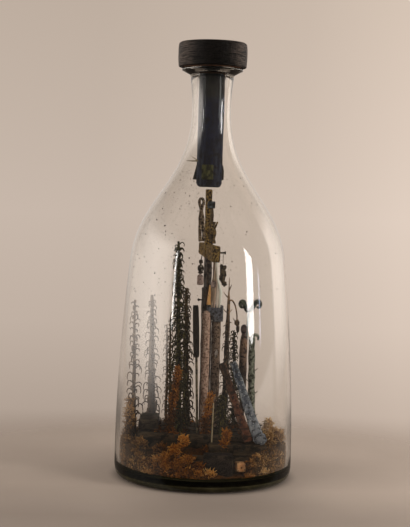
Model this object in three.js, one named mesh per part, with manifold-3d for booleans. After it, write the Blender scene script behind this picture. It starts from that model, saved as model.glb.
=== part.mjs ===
// Calvary in a bottle: a clear glass bottle with a small carved wooden cross, the instruments
// hung on it, a ladder, shaved-curl trees and a bed of dried moss on a raft of slats, all built
// inside through the neck, and closed by a stopper that is locked from within by a key and a pin.
// Millimetres, +Z up, origin at the middle of the bottle's foot.

import * as THREE from 'three';
import { mergeVertices } from 'three/addons/utils/BufferGeometryUtils.js';
import Module from 'manifold-3d';

const wasm = await Module();
wasm.setup();

// Fits
const FIT = 0.3;                  // gap left between two pieces that touch
const GOLDEN_TURN = THREE.MathUtils.degToRad(137.5);

// Bottle
const BODY_RADIUS = 65.7;
const SHOULDER_DRAW = 8.3;        // how far the body has drawn in where the shoulder starts
const SHOULDER_Z = 160;           // where the shoulder starts
const NECK_RADIUS = 14.2;
const NECK_WALL = 3.7;
const NECK_Z = 271;               // the narrowest place of the neck
const THROAT_RADIUS = 16.2;       // the neck just under the lip
const LIP_RADIUS = 22.6;
const LIP_HEIGHT = 5;             // from the throat to the top of the lip
const LIP_EDGE = 2.2;             // thickness of the lip's rounded edge
const MOUTH_ROUND = 2.8;
const BOTTLE_HEIGHT = 301.2;
const WALL = 3;
const HEEL_HEIGHT = 10;           // height of the rounded lower edge
const HEEL_WIDTH = 5.7;           // from the side in to the flat ring that the bottle stands on
const FOOT_WIDTH = 9;
const PUNT_DEPTH = 4;
const FLOOR_THICKNESS = 4;
const FLOOR_CORNER = 4;
const BOTTLE_FACETS = 32;
const SHOULDER_IN_SHARE = 0.91;   // handles of the shoulder's curve, as parts of its radius and rise
const SHOULDER_UP_SHARE = 0.42;
const NECK_DOWN_SHARE = 0.48;

// Stopper
const CAP_OVERHANG = 2.8;         // how far the cap stands out over the lip
const CAP_HEIGHT = 16.8;
const CAP_EDGE = 1.8;
const CAP_FOOT_EDGE = 1;
const CAP_RIM = 1.2;              // how far the rim of the cap hangs down round the washer
const CAP_RIM_GAP = 0.5;          // between the washer and that rim
const WASHER_INSET = 1.1;         // from the lip's edge in to the washer's
const WASHER_THICKNESS = 1.4;
const STEM_FREE = 1.25;           // side play of the stem in the bore
const STEM_DEPTH = 10;
const STEM_CHAMFER = 3;
const STEM_LENGTH = 87.2;         // from the lip down
const STEM_END_BEVEL = 1.8;
const TENON_RADIUS = 5;
const TENON_LENGTH = 9;
const KEY_HEIGHT = 11;
const KEY_THICKNESS = 4;
const KEY_LONG_EAR = 3.4;         // how far the key stands out of the stem on the left
const KEY_SHORT_EAR = 1;          // and on the right
const KEY_TAPER = 2.6;            // slant of the long ear
const KEY_ABOVE_END = 5.4;        // from the stem's end up to the key
const PIN_RADIUS = 1.7;
const PIN_OFFSET = -1.8;
const PIN_HEAD_WIDTH = 8.4;
const PIN_HEAD_HEIGHT = 10.9;
const PIN_HEAD_THICKNESS = 2;
const PIN_TAIL = 1;

// Raft of slats and the moss on it
const SLAT_WIDTH = 16;
const SLAT_HEIGHT = 13;
const SLAT_CHAMFER = 1;
const SLAT_WALL_GAP = 0.6;        // room between a slat's corner and the rounded edge of the floor
const BEARER_COUNT = 5;
const BEARER_INSET = 1.82;        // from the raft's edge in to the side of the outermost bearers
const DECK_COUNT = 3;
const DECK_GAP = 1;               // between two deck slats
const DECK_SHORT = 4;             // how far the deck stays behind the right bearer's middle
const SILL_LEFT = 4;
const SILL_SPAN = 41;
const SILL_HEIGHT = 8;
const SILL_FRONT_GAP = 4.3;       // from the front block back to the sill
const FRONT_BLOCK = { x: 10.8, width: 20.4, depth: 12, height: 17, wallGap: 0.87, backGap: 3 };
const PLANK = { inset: 7.6, width: 14, height: 8, span: 28 };
const MOSS_GAP = 1;               // room between the moss and the glass
const MOSS_BELOW_DECK = 2.6;      // the moss top under the deck's top
const MOSS_EDGE_DROP = 5;         // the moss is lower along the glass
const MOSS_EDGE_WIDTH = 6;
const MOSS_CROWN = 1;             // and a little higher in the middle
const TUFT_SINK = 4;
const WALL_TUFT = { wallGap: 7.64, bearing: 193.7, radius: 3.8, top: 52 };
const LEFT_TUFT = { x: -22, y: -20.5, radius: 3.4, top: 77 };
const MIDDLE_TUFT = { x: 3.6, y: -20.8, radius: 3.2, top: 60 };
const DIE = { size: 6.5, blockGap: 5.4, wallGap: 9.2, rise: 4.9, turn: 14 };

// Cross
const CROSS_X = 0.5;
const CROSS_TURN = 10.5;          // degrees that the cross is turned about its post
const POST_WIDTH = 6.5;
const POST_TOP_WIDTH = 4;
const POST_CLEAR = 1.6;           // from the post's top to the stem's end
const BEAM_Z = 161.2;             // underside of the beam
const BEAM_HEIGHT = 11.5;
const BEAM_THICKNESS = 5.5;
const BEAM_SPAN = 62;
const BEAM_SHOULDER = 2;          // full width of the post above the beam
const NAIL_RADIUS = 0.55;
const NAIL_HEAD = 1.15;
const NAIL_OUT = 4.6;             // how far a hand nail stands out
const NAIL_IN = 3.85;             // how deep it is driven
const NAIL_END = 2.7;             // from the beam's end to a hand nail
const FOOT_NAIL_RISE = 3.5;       // above the foot rest
const FOOT_NAIL_OUT = 4;
const FOOT_REST = { back: 1, front: 11.3, width: 13, height: 12, top: 127.3, backHeight: 6, slantEnd: 4.2 };
const PILLAR_RADIUS = 3;
const PILLAR_X = 7.5;
const WEDGE = { width: 3.4, top: 1.1, slant: 0.4, shoulder: 2.9, height: 14.6, thickness: 2.2 };

// Instruments standing on the beam or hanging under it, placed along the beam
const PEG_RADIUS = 0.8;
const PEG_DEPTH = 2.6;
const HAMMER = { y: -9, handle: 0.9, rise: 30, headDepth: 5.2, headWidth: 3.4, headHeight: 5.2 };
const JUG = { y: -15.5, radius: 2.2, height: 15.6, spout: 1.2, spoutOut: 1.3 };
const PINCERS = {
  x: -0.4, y: 26.5, lean: -1.2, height: 33, ring: 2.3, ringSquash: 0.7, bar: 0.65,
  spread: 2.3, belly: 2.3, pivot: 1.2, pivotRadius: 1.5,
};
const LANTERN = { y: 27, radius: 2.4, drop: 4.2, ball: 1.5, height: 8.5, hook: 0.5 };
const PURSE = { radius: 2.3, height: 8.2 };
const LINEN = {
  y: -22.6, back: 1, topFront: 3.4, bulge: 5.6, footFront: 4.5, height: 34.4,
  foldRadius: 1.15, foldDepth: 0.9,
};
const LINEN_FOLD_COUNT = 4;
const ROOSTER = { along: 2.7, drop: 9, radius: 2.2, pitch: 3.4, sway: 0.35, wire: 0.3 };
const ROOSTER_LUMP_COUNT = 4;

// Uprights planted in the raft
const PLANT_DEPTH = 8;
const COLUMN = { x: 0, y: -13, radius: 2.9, top: 123.8 };
const REED = {
  x: -4.4, y: -17, topShift: -3.4, stalk: 0.9, socket: 6,
  headRadius: 2.1, headEnd: 1.8, headFoot: 90, headTop: 128,
};
const HOOD = { x: 29, y: 17, radius: 2.9, top: 111.9 };
const LADDER = {
  x: 32.5, sillOffset: -0.6, headX: 11.3, headY: -5.4, headZ: 88, width: 8.5,
  railWidth: 5.4, railDepth: 3.4, rung: 0.8, inset: 0.8,
};
const RUNG_COUNT = 4;

// Trees: foot, how far the top stands aside of it, height of the top, girth and reach of the curls;
// those at the edge stand in a bearer, counted from the left, and the others on the deck
const LEFT_WALL_TREE = {
  bearerNumber: 0, offset: -3.4, y: -5, topShift: -1.5, top: 130, girth: 1.7, reach: 5.6, bareShare: 0.3,
};
const LEFT_BACK_TREE = {
  x: -39.4, y: 19.5, topShift: -2.5, top: 131.7, girth: 3.2, reach: 6.4, bareShare: 0.25,
};
const LEFT_FAR_TREE = {
  bearerNumber: 1, offset: -5, y: 38, topShift: -1.5, top: 108, girth: 1.2, reach: 5, bareShare: 0.3,
};
const LEFT_THIN_TREE = {
  x: -25, y: 4.5, topShift: -1.8, top: 116.5, girth: 1.4, reach: 4.4, bareShare: 0.25,
};
const TALL_GREEN_TREE = {
  x: -18.1, y: -13, topShift: -3.4, top: 173.9, girth: 2, reach: 5.4, bareShare: 0.36,
};
const BROWN_GREEN_TREE = {
  x: -12.9, y: 15, topShift: -2.6, top: 138, girth: 2.6, reach: 4.8, bareShare: 0.2,
};
const RIGHT_SPIKE_TREE = {
  x: 14.4, y: 3, topShift: 2.2, top: 147.3, girth: 2.3, reach: 3.6, bareShare: 0.45,
};
const RIGHT_TWIG_TREE = {
  x: 23.1, y: 14, topShift: -1.7, top: 107.4, girth: 1, reach: 3.4, bareShare: 0.5,
};
const FRONT_BUSH_TREE = {
  x: 12.2, y: -19, topShift: 0.5, top: 62, girth: 0.9, reach: 3.6, bareShare: 0.35,
};
const GREEN_POST_TREE = {
  x: 36.1, y: 3.6, topShift: -1.4, top: 103, girth: 3, tipShare: 0.85, reach: 4.6, bareShare: 0.3,
};
const RIGHT_PALM_TREE = {
  bearerNumber: 3, offset: 3.6, y: 30.5, topShift: 5.6, top: 122, girth: 1.3, reach: 0, bareShare: 0,
};
const TREE_TIP_SHARE = 0.25;      // a trunk's thickness at its tip, as a part of its girth
const CURL_RADIUS = 0.5;
const CURL_SHARES = { low: 1.15, fall: 0.65, overOut: 0.65, overUp: 1.1, tipUp: 0.15, tipThin: 0.5 };
const HOOK = { radius: 2.4, bar: 0.8 };
const BRANCH = { from: 17.6, out: 6.7, back: 5.6, drop: 16, bar: 0.5, bud: 1.5, leafSide: -1, leafDrop: 2.4 };
const LEFT_FROND = { x: -4.6, radius: 2.4, bar: 1.3, stalk: 1.1 };
const RIGHT_FROND = { x: 6, radius: 2.6, bar: 1.5, stalk: 1.1 };
const FROND_TURN = 260;           // degrees that a frond is rolled through

// Profiles of the turned pieces: part of the radius, part of the height
const COLUMN_PROFILE = [[0, 0], [1, 0], [1, 0.97], [0.75, 0.99], [0, 1]];
const HOOD_PROFILE = [
  [0, 0], [0.6, 0], [0.6, 0.19], [1, 0.48], [1, 0.86], [0.48, 0.93], [0.79, 0.96], [0.63, 0.986], [0, 1],
];
const JUG_PROFILE = [[0, 0], [1, 0], [0.9, 0.5], [0.59, 0.85], [0.59, 1], [0, 1]];
const LANTERN_PROFILE = [[0, 0], [0.8, 0], [1, 0.12], [1, 0.7], [0.45, 1], [0, 1]];
const PURSE_PROFILE = [[0, 0], [0.8, 0], [1, 0.2], [0.95, 0.85], [0.7, 1], [0, 1]];
const TUFT_PROFILE = [[0, 0], [0.7, 0], [1, 0.3], [0.8, 0.7], [0.3, 0.94], [0, 1]];

// Places worked out from the sizes
const SHOULDER_RADIUS = BODY_RADIUS - SHOULDER_DRAW;
const FOOT_RADIUS = BODY_RADIUS - HEEL_WIDTH;
const BORE_RADIUS = NECK_RADIUS - NECK_WALL;
const INNER_RADIUS = BODY_RADIUS - WALL;
const FLOOR_Z = PUNT_DEPTH + FLOOR_THICKNESS;
const CAP_RADIUS = LIP_RADIUS + CAP_OVERHANG;
const WASHER_RADIUS = LIP_RADIUS - WASHER_INSET;
const WASHER_Z = BOTTLE_HEIGHT + FIT;
const CAP_Z = WASHER_Z + WASHER_THICKNESS + FIT;
const STEM_WIDTH = 2 * (BORE_RADIUS - STEM_FREE);
const STEM_END = BOTTLE_HEIGHT - STEM_LENGTH;
const PIN_Z = STEM_END + KEY_ABOVE_END + KEY_HEIGHT / 2;
const BEARER_Z = FLOOR_Z + FIT;
const BEARER_TOP = BEARER_Z + SLAT_HEIGHT;
const DECK_Z = BEARER_TOP + FIT;
const DECK_TOP = DECK_Z + SLAT_HEIGHT;
const FACET_SHARE = Math.cos(Math.PI / BOTTLE_FACETS);
const RAFT_RADIUS = (INNER_RADIUS - FLOOR_CORNER - SLAT_WALL_GAP) * FACET_SHARE;
const OUTER_BEARER_X = RAFT_RADIUS - BEARER_INSET - SLAT_WIDTH / 2;
const BEARER_PITCH = (2 * OUTER_BEARER_X) / (BEARER_COUNT - 1);
const DECK_PITCH = SLAT_WIDTH + DECK_GAP;
const DECK_HALF = (DECK_PITCH * (DECK_COUNT - 1) + SLAT_WIDTH) / 2;
const DECK_LEFT = -OUTER_BEARER_X;
const DECK_RIGHT = OUTER_BEARER_X - DECK_SHORT;
const BLOCK_RIGHT = FRONT_BLOCK.x + FRONT_BLOCK.width / 2;
const BLOCK_FRONT = FRONT_BLOCK.wallGap - Math.sqrt(RAFT_RADIUS ** 2 - BLOCK_RIGHT ** 2);
const BLOCK_BACK = BLOCK_FRONT + FRONT_BLOCK.depth;
const SILL_FRONT = BLOCK_BACK + SILL_FRONT_GAP;
const SILL_BACK = -DECK_HALF - FIT;
const SILL_TOP = DECK_Z + SILL_HEIGHT;
const MOSS_TOP = DECK_TOP - MOSS_BELOW_DECK;
const MOSS_EDGE_TOP = MOSS_TOP - MOSS_EDGE_DROP;
const DIE_X = BLOCK_RIGHT + DIE.blockGap;
const DIE_Y = -Math.sqrt((INNER_RADIUS - DIE.wallGap) ** 2 - DIE_X ** 2);
const POST_TOP = STEM_END - POST_CLEAR;
const BEAM_TOP = BEAM_Z + BEAM_HEIGHT;
const BEAM_MIDDLE = BEAM_Z + BEAM_HEIGHT / 2;
const FOOT_NAIL_Z = FOOT_REST.top + FOOT_NAIL_RISE;

// Materials
function finish(color, roughness, metalness = 0) {
  return new THREE.MeshStandardMaterial({ color, roughness, metalness });
}

const glass = finish(0xdfe6df, 0.04);
glass.transparent = true;
glass.opacity = 0.25;
const blackWood = finish(0x1c1917, 0.6);
const leather = finish(0x2c2119, 0.8);
const bluePaint = finish(0x1f2836, 0.5);
const olivePaint = finish(0x5c5426, 0.6);
const darkWood = finish(0x2a2522, 0.8);
const brownWood = finish(0x5a4030, 0.8);
const barkWood = finish(0x5b4f36, 0.85);
const slatePaint = finish(0x33383c, 0.7);
const paleLinen = finish(0xb5ab98, 0.85);
const rawWood = finish(0xc39a63, 0.75);
const pinkMarble = finish(0x9a7c68, 0.7);
const iron = finish(0x2b2320, 0.55, 0.6);
const redBrownPaint = finish(0x5a3527, 0.75);
const bluegreyPaint = finish(0x5b6a7b, 0.65);
const treeGreen = finish(0x2f3826, 0.85);
const treeGrey = finish(0x6c6154, 0.9);
const mossOrange = finish(0xa06a2c, 1);
const dieWood = finish(0xc98f55, 0.7);

// Solids: closed geometry to a solid, booleans, and back
function toSolid(geometry) {
  const bare = new THREE.BufferGeometry();
  bare.setAttribute('position', geometry.getAttribute('position').clone());
  bare.setIndex(geometry.getIndex());
  const merged = mergeVertices(bare, 1e-4);
  const place = merged.getAttribute('position');
  const corners = merged.getIndex().array;
  const corner = [new THREE.Vector3(), new THREE.Vector3(), new THREE.Vector3()];
  const triangles = [];
  let volume = 0;
  for (let i = 0; i < corners.length; i += 3) {
    const [a, b, c] = [corners[i], corners[i + 1], corners[i + 2]];
    if (a === b || b === c || c === a) continue;
    triangles.push(a, b, c);
    [a, b, c].forEach((index, k) => corner[k].fromBufferAttribute(place, index));
    volume += corner[0].dot(corner[1].cross(corner[2]));
  }
  if (volume < 0) {
    for (let i = 0; i < triangles.length; i += 3) {
      [triangles[i + 1], triangles[i + 2]] = [triangles[i + 2], triangles[i + 1]];
    }
  }
  const vertProperties = new Float32Array(place.array);
  const triVerts = new Uint32Array(triangles);
  return new wasm.Manifold(new wasm.Mesh({ numProp: 3, vertProperties, triVerts }));
}

function toGeometry(solid) {
  const { vertProperties, triVerts } = solid.getMesh();
  const geometry = new THREE.BufferGeometry();
  geometry.setAttribute('position', new THREE.BufferAttribute(new Float32Array(vertProperties), 3));
  geometry.setIndex(new THREE.BufferAttribute(new Uint32Array(triVerts), 1));
  geometry.computeVertexNormals();
  return geometry;
}

const join = (...shapes) => toGeometry(shapes.map(toSolid).reduce((all, next) => all.add(next)));

function cut(shape, ...tools) {
  return toGeometry(tools.map(toSolid).reduce((left, tool) => left.subtract(tool), toSolid(shape)));
}

// Plain shapes
function block(x0, x1, y0, y1, z0, z1) {
  const shape = new THREE.BoxGeometry(x1 - x0, y1 - y0, z1 - z0);
  return shape.translate((x0 + x1) / 2, (y0 + y1) / 2, (z0 + z1) / 2);
}

function lathe(outline, facets) {
  const shape = new THREE.LatheGeometry(outline.map(([r, z]) => new THREE.Vector2(r, z)), facets);
  return shape.rotateX(Math.PI / 2);
}

// A piece turned to a profile, made larger all round by grow
function turned(profile, radius, foot, top, facets, grow = 0) {
  const height = top - foot + 2 * grow;
  const outline = profile.map(([r, z]) => [r > 0 ? r * radius + grow : 0, foot - grow + z * height]);
  return lathe(outline, facets);
}

function ball(radius, [x, y, z], facets = 8) {
  return new THREE.SphereGeometry(radius, facets, facets - 2).translate(x, y, z);
}

// A round bar along a curve, whose radius may change from one end to the other
function bar(curve, radiusAt, steps, sides) {
  const frames = curve.computeFrenetFrames(steps);
  const places = [];
  const index = [];
  for (let i = 0; i <= steps; i += 1) {
    const middle = curve.getPointAt(i / steps);
    for (let j = 0; j < sides; j += 1) {
      const angle = (2 * Math.PI * j) / sides;
      const point = middle.clone();
      point.addScaledVector(frames.normals[i], radiusAt(i / steps) * Math.cos(angle));
      point.addScaledVector(frames.binormals[i], radiusAt(i / steps) * Math.sin(angle));
      places.push(...point.toArray());
    }
  }
  for (let i = 0; i < steps; i += 1) {
    for (let j = 0; j < sides; j += 1) {
      const here = i * sides + j;
      const beside = i * sides + ((j + 1) % sides);
      index.push(here, beside, here + sides, beside, beside + sides, here + sides);
    }
  }
  for (let j = 1; j < sides - 1; j += 1) {
    const end = steps * sides;
    index.push(0, j + 1, j, end, end + j, end + j + 1);
  }
  const shape = new THREE.BufferGeometry();
  shape.setAttribute('position', new THREE.Float32BufferAttribute(places, 3));
  shape.setIndex(index);
  return shape;
}

const line = (from, to) => new THREE.LineCurve3(new THREE.Vector3(...from), new THREE.Vector3(...to));
const rod = (from, to, radius, sides = 8) => bar(line(from, to), () => radius, 1, sides);

function bend(from, over, to) {
  return new THREE.QuadraticBezierCurve3(
    new THREE.Vector3(...from), new THREE.Vector3(...over), new THREE.Vector3(...to));
}

// An arc in the XZ plane, from one angle to another in degrees
function arcXZ([x, y, z], radius, fromAngle, toAngle) {
  const arc = new THREE.Curve();
  arc.getPoint = (t, point = new THREE.Vector3()) => {
    const angle = THREE.MathUtils.degToRad(fromAngle + (toAngle - fromAngle) * t);
    return point.set(x + radius * Math.cos(angle), y, z + radius * Math.sin(angle));
  };
  return arc;
}

// An outline in the XZ plane, extruded along Y
function plateXZ(outline, y0, y1) {
  const shape = new THREE.Shape(outline.map(([x, z]) => new THREE.Vector2(x, z)));
  const plate = new THREE.ExtrudeGeometry(shape, { depth: y1 - y0, bevelEnabled: false });
  return plate.rotateX(Math.PI / 2).translate(0, y1, 0);
}

function piece(parent, name, shape, material) {
  const mesh = new THREE.Mesh(toGeometry(toSolid(shape)), material);
  mesh.name = name;
  parent.add(mesh);
}

const scene = new THREE.Group();

// Bottle: body, shoulder and neck drawn as curves, outside and inside, then turned round
const flat = (r, z) => new THREE.Vector2(r, z);
const curvePoints = (curve, steps) => curve.getPoints(steps).map((point) => [point.x, point.y]);

function quarterRound(r, z, radius, fromAngle, toAngle, steps) {
  const clockwise = toAngle < fromAngle;
  return curvePoints(new THREE.EllipseCurve(r, z, radius, radius, fromAngle, toAngle, clockwise), steps);
}

function bottleSide(wallBody, wallNeck, footZ) {
  const body = BODY_RADIUS - wallBody;
  const shoulder = SHOULDER_RADIUS - wallBody;
  const neck = NECK_RADIUS - wallNeck;
  const rise = NECK_Z - SHOULDER_Z;
  const bodyCurve = new THREE.QuadraticBezierCurve(
    flat(body, footZ), flat(body, (footZ + SHOULDER_Z) / 2), flat(shoulder, SHOULDER_Z));
  const shoulderCurve = new THREE.CubicBezierCurve(
    flat(shoulder, SHOULDER_Z), flat(SHOULDER_IN_SHARE * shoulder, SHOULDER_Z + SHOULDER_UP_SHARE * rise),
    flat(neck, NECK_Z - NECK_DOWN_SHARE * rise), flat(neck, NECK_Z));
  return [...curvePoints(bodyCurve, 4), ...curvePoints(shoulderCurve, 10).slice(1)];
}

function bottle() {
  const throatZ = BOTTLE_HEIGHT - LIP_HEIGHT;
  const lipRound = LIP_EDGE / 2;
  const lipMiddle = BOTTLE_HEIGHT - lipRound;
  const lipFoot = BOTTLE_HEIGHT - LIP_EDGE;
  const heel = new THREE.QuadraticBezierCurve(
    flat(FOOT_RADIUS, 0), flat(BODY_RADIUS, 0), flat(BODY_RADIUS, HEEL_HEIGHT));
  const flare = new THREE.QuadraticBezierCurve(
    flat(NECK_RADIUS, NECK_Z), flat(NECK_RADIUS, (NECK_Z + throatZ) / 2), flat(THROAT_RADIUS, throatZ));
  const cove = new THREE.QuadraticBezierCurve(
    flat(THROAT_RADIUS, throatZ), flat((THROAT_RADIUS + LIP_RADIUS) / 2, lipFoot - lipRound),
    flat(LIP_RADIUS - lipRound, lipFoot));
  const lip = quarterRound(LIP_RADIUS - lipRound, lipMiddle, lipRound, -Math.PI / 2, Math.PI / 2, 4);
  const mouth = quarterRound(
    BORE_RADIUS + MOUTH_ROUND, BOTTLE_HEIGHT - MOUTH_ROUND, MOUTH_ROUND, Math.PI / 2, Math.PI, 2);
  const inside = bottleSide(WALL, NECK_WALL, FLOOR_Z + FLOOR_CORNER).reverse();
  const corner = quarterRound(
    INNER_RADIUS - FLOOR_CORNER, FLOOR_Z + FLOOR_CORNER, FLOOR_CORNER, 0, -Math.PI / 2, 3);
  const footInside = FOOT_RADIUS - FOOT_WIDTH;
  return lathe([
    [0, PUNT_DEPTH], [footInside - PUNT_DEPTH, PUNT_DEPTH], [footInside, 0],
    ...curvePoints(heel, 4), ...bottleSide(0, 0, HEEL_HEIGHT).slice(1), ...curvePoints(flare, 4).slice(1),
    ...curvePoints(cove, 2).slice(1), ...lip.slice(1), ...mouth, ...inside, ...corner.slice(1), [0, FLOOR_Z],
  ], BOTTLE_FACETS);
}

piece(scene, 'bottle_glass', bottle(), glass);

// Stopper: turned cap, leather washer keyed on the stem, chamfered stem, key and pin
function stemSection(grow) {
  const x = STEM_WIDTH / 2 + grow;
  const y = STEM_DEPTH / 2 + grow;
  const c = STEM_CHAMFER;
  const corners = [
    [x, y - c], [x - c, y], [c - x, y], [-x, y - c], [-x, c - y], [c - x, -y], [x - c, -y], [x, c - y],
  ];
  return new THREE.Shape(corners.map(([across, deep]) => new THREE.Vector2(across, deep)));
}

function keyShape(grow) {
  const foot = STEM_END + KEY_ABOVE_END - grow;
  const top = STEM_END + KEY_ABOVE_END + KEY_HEIGHT + grow;
  const left = -STEM_WIDTH / 2 - KEY_LONG_EAR;
  const right = STEM_WIDTH / 2 + KEY_SHORT_EAR;
  const half = KEY_THICKNESS / 2 + grow;
  return plateXZ([[left, foot], [right, foot], [right, top], [left + KEY_TAPER, top]], -half, half);
}

function pinShank(grow) {
  const head = -STEM_DEPTH / 2 - FIT - PIN_HEAD_THICKNESS / 2;
  const tail = STEM_DEPTH / 2 + PIN_TAIL;
  return rod([PIN_OFFSET, head, PIN_Z], [PIN_OFFSET, tail, PIN_Z], PIN_RADIUS + grow);
}

function capShape() {
  const socket = TENON_RADIUS + FIT;
  const socketTop = CAP_Z + TENON_LENGTH + FIT;
  const top = CAP_Z + CAP_HEIGHT;
  const recess = WASHER_RADIUS + CAP_RIM_GAP;
  const rimZ = CAP_Z - CAP_RIM;
  const edge = quarterRound(CAP_RADIUS - CAP_EDGE, top - CAP_EDGE, CAP_EDGE, 0, Math.PI / 2, 3);
  return lathe([
    [0, socketTop], [socket, socketTop], [socket, CAP_Z], [recess, CAP_Z], [recess, rimZ],
    [CAP_RADIUS - CAP_FOOT_EDGE, rimZ], [CAP_RADIUS, rimZ + CAP_FOOT_EDGE], ...edge, [0, top],
  ], BOTTLE_FACETS);
}

function washerShape() {
  const through = { depth: 3 * WASHER_THICKNESS, bevelEnabled: false };
  const hole = new THREE.ExtrudeGeometry(stemSection(FIT), through);
  const disc = rod([0, 0, WASHER_Z], [0, 0, WASHER_Z + WASHER_THICKNESS], WASHER_RADIUS, BOTTLE_FACETS);
  return cut(disc, hole.translate(0, 0, WASHER_Z - WASHER_THICKNESS));
}

function stemShape() {
  const stemTop = CAP_Z - FIT;
  const prism = new THREE.ExtrudeGeometry(stemSection(0), {
    depth: stemTop - STEM_END - 2 * STEM_END_BEVEL,
    bevelEnabled: true,
    bevelSegments: 1,
    bevelThickness: STEM_END_BEVEL,
    bevelSize: STEM_END_BEVEL,
    bevelOffset: -STEM_END_BEVEL,
  });
  prism.translate(0, 0, STEM_END + STEM_END_BEVEL);
  const tenon = rod([0, 0, stemTop - TENON_LENGTH], [0, 0, CAP_Z + TENON_LENGTH], TENON_RADIUS, 16);
  return cut(join(prism, tenon), keyShape(FIT), pinShank(FIT));
}

function pinShape() {
  const face = -STEM_DEPTH / 2 - FIT;
  const head = block(PIN_OFFSET - PIN_HEAD_WIDTH / 2, PIN_OFFSET + PIN_HEAD_WIDTH / 2,
    face - PIN_HEAD_THICKNESS, face, PIN_Z - PIN_HEAD_HEIGHT / 2, PIN_Z + PIN_HEAD_HEIGHT / 2);
  return join(head, pinShank(0));
}

piece(scene, 'stopper_cap', capShape(), blackWood);
piece(scene, 'stopper_washer', washerShape(), leather);
piece(scene, 'stopper_stem', stemShape(), bluePaint);
piece(scene, 'lock_key', cut(keyShape(0), pinShank(FIT)), darkWood);
piece(scene, 'lock_pin', pinShape(), olivePaint);

// Trees: a tapered trunk with curls shaved from it, rising and falling over
const bearerX = (number) => BEARER_PITCH * number - OUTER_BEARER_X;

function trunkLine(tree) {
  const inBearer = tree.bearerNumber !== undefined;
  const bed = inBearer ? BEARER_TOP : DECK_TOP;
  const x = inBearer ? bearerX(tree.bearerNumber) + tree.offset : tree.x;
  const slope = tree.topShift / (tree.top - bed);
  return line([x - slope * PLANT_DEPTH, tree.y, bed - PLANT_DEPTH], [x + tree.topShift, tree.y, tree.top]);
}

function trunk(tree, grow) {
  const tipShare = tree.tipShare ?? TREE_TIP_SHARE;
  const radiusAt = (t) => tree.girth * (1 - (1 - tipShare) * t) + grow;
  return bar(trunkLine(tree), radiusAt, 1, 6);
}

function curls(tree, count) {
  const stem = trunkLine(tree);
  const up = new THREE.Vector3(0, 0, 1);
  return Array.from({ length: count }, (_, i) => {
    const share = tree.bareShare + ((1 - tree.bareShare) * (i + 0.5)) / count;
    const root = stem.getPoint(share);
    const angle = i * GOLDEN_TURN;
    const reach = tree.reach * (CURL_SHARES.low - CURL_SHARES.fall * share);
    const out = new THREE.Vector3(Math.cos(angle), Math.sin(angle), 0);
    const over = root.clone().addScaledVector(out, CURL_SHARES.overOut * reach);
    over.addScaledVector(up, CURL_SHARES.overUp * reach);
    const tip = root.clone().addScaledVector(out, reach).addScaledVector(up, CURL_SHARES.tipUp * reach);
    const radiusAt = (t) => CURL_RADIUS * (1 - CURL_SHARES.tipThin * t);
    return bar(new THREE.QuadraticBezierCurve3(root, over, tip), radiusAt, 3, 3);
  });
}

function tree(name, sizes, curlCount, material, ...extras) {
  piece(scene, name, join(trunk(sizes, 0), ...curls(sizes, curlCount), ...extras), material);
}

const treeTop = (sizes) => trunkLine(sizes).v2.toArray();

// The hook rolled from the top of the green post
function hook() {
  const [x, y, z] = treeTop(GREEN_POST_TREE);
  return bar(arcXZ([x + HOOK.radius, y, z - HOOK.bar], HOOK.radius, 180, -60), () => HOOK.bar, 7, 5);
}

// The drooping branch of the spike, with its bud and its leaf
function branch() {
  const [x, y, z] = treeTop(RIGHT_SPIKE_TREE);
  const from = [x, y, z - BRANCH.from];
  const bud = [x + BRANCH.out, y + BRANCH.back, from[2] - BRANCH.drop];
  const leaf = [bud[0] + BRANCH.leafSide, bud[1], bud[2] - BRANCH.leafDrop];
  const twig = bar(bend(from, [bud[0], bud[1], from[2]], bud), () => BRANCH.bar, 5, 4);
  return [twig, ball(BRANCH.bud, bud), ball(BRANCH.bud, leaf)];
}

// A rolled frond of the palm and the stalk that bears it
function frond(sizes) {
  const top = treeTop(RIGHT_PALM_TREE);
  const side = Math.sign(sizes.x);
  const middle = [top[0] + sizes.x, top[1], top[2] + sizes.radius];
  const start = 90 + 180 * side;
  const roll = arcXZ(middle, sizes.radius, start, start - FROND_TURN * side);
  const stalk = bar(line(top, roll.getPoint(0).toArray()), () => sizes.stalk, 1, 5);
  return [bar(roll, () => sizes.bar, 7, 5), stalk];
}

tree('tree_left_wall', LEFT_WALL_TREE, 16, treeGrey);
tree('tree_left_back', LEFT_BACK_TREE, 16, treeGrey);
tree('tree_left_far', LEFT_FAR_TREE, 12, treeGrey);
tree('tree_left_thin', LEFT_THIN_TREE, 12, treeGreen);
tree('tree_tall_green', TALL_GREEN_TREE, 26, treeGreen);
tree('tree_brown_green', BROWN_GREEN_TREE, 18, treeGreen);
tree('tree_right_spike', RIGHT_SPIKE_TREE, 12, treeGreen, ...branch());
tree('tree_right_twig', RIGHT_TWIG_TREE, 8, treeGreen);
tree('tree_front_bush', FRONT_BUSH_TREE, 10, treeGreen);
tree('tree_green_post', GREEN_POST_TREE, 5, treeGreen, hook());
tree('tree_right_palm', RIGHT_PALM_TREE, 0, treeGreen, ...frond(LEFT_FROND), ...frond(RIGHT_FROND));

// Uprights: painted column, reed with its dark head, hooded post
const uprightFoot = DECK_TOP - PLANT_DEPTH;

function column(grow) {
  const shape = turned(COLUMN_PROFILE, COLUMN.radius, uprightFoot, COLUMN.top, 12, grow);
  return shape.translate(COLUMN.x, COLUMN.y, 0);
}

function hood(grow) {
  const shape = turned(HOOD_PROFILE, HOOD.radius, uprightFoot, HOOD.top, 10, grow);
  return shape.translate(HOOD.x, HOOD.y, 0);
}

const reedAt = (z) => [REED.x + (REED.topShift * (z - DECK_TOP)) / (REED.headTop - DECK_TOP), REED.y, z];

function reedStalk(grow) {
  return rod(reedAt(uprightFoot - grow), reedAt(REED.headFoot + REED.socket + grow), REED.stalk + grow);
}

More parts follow.
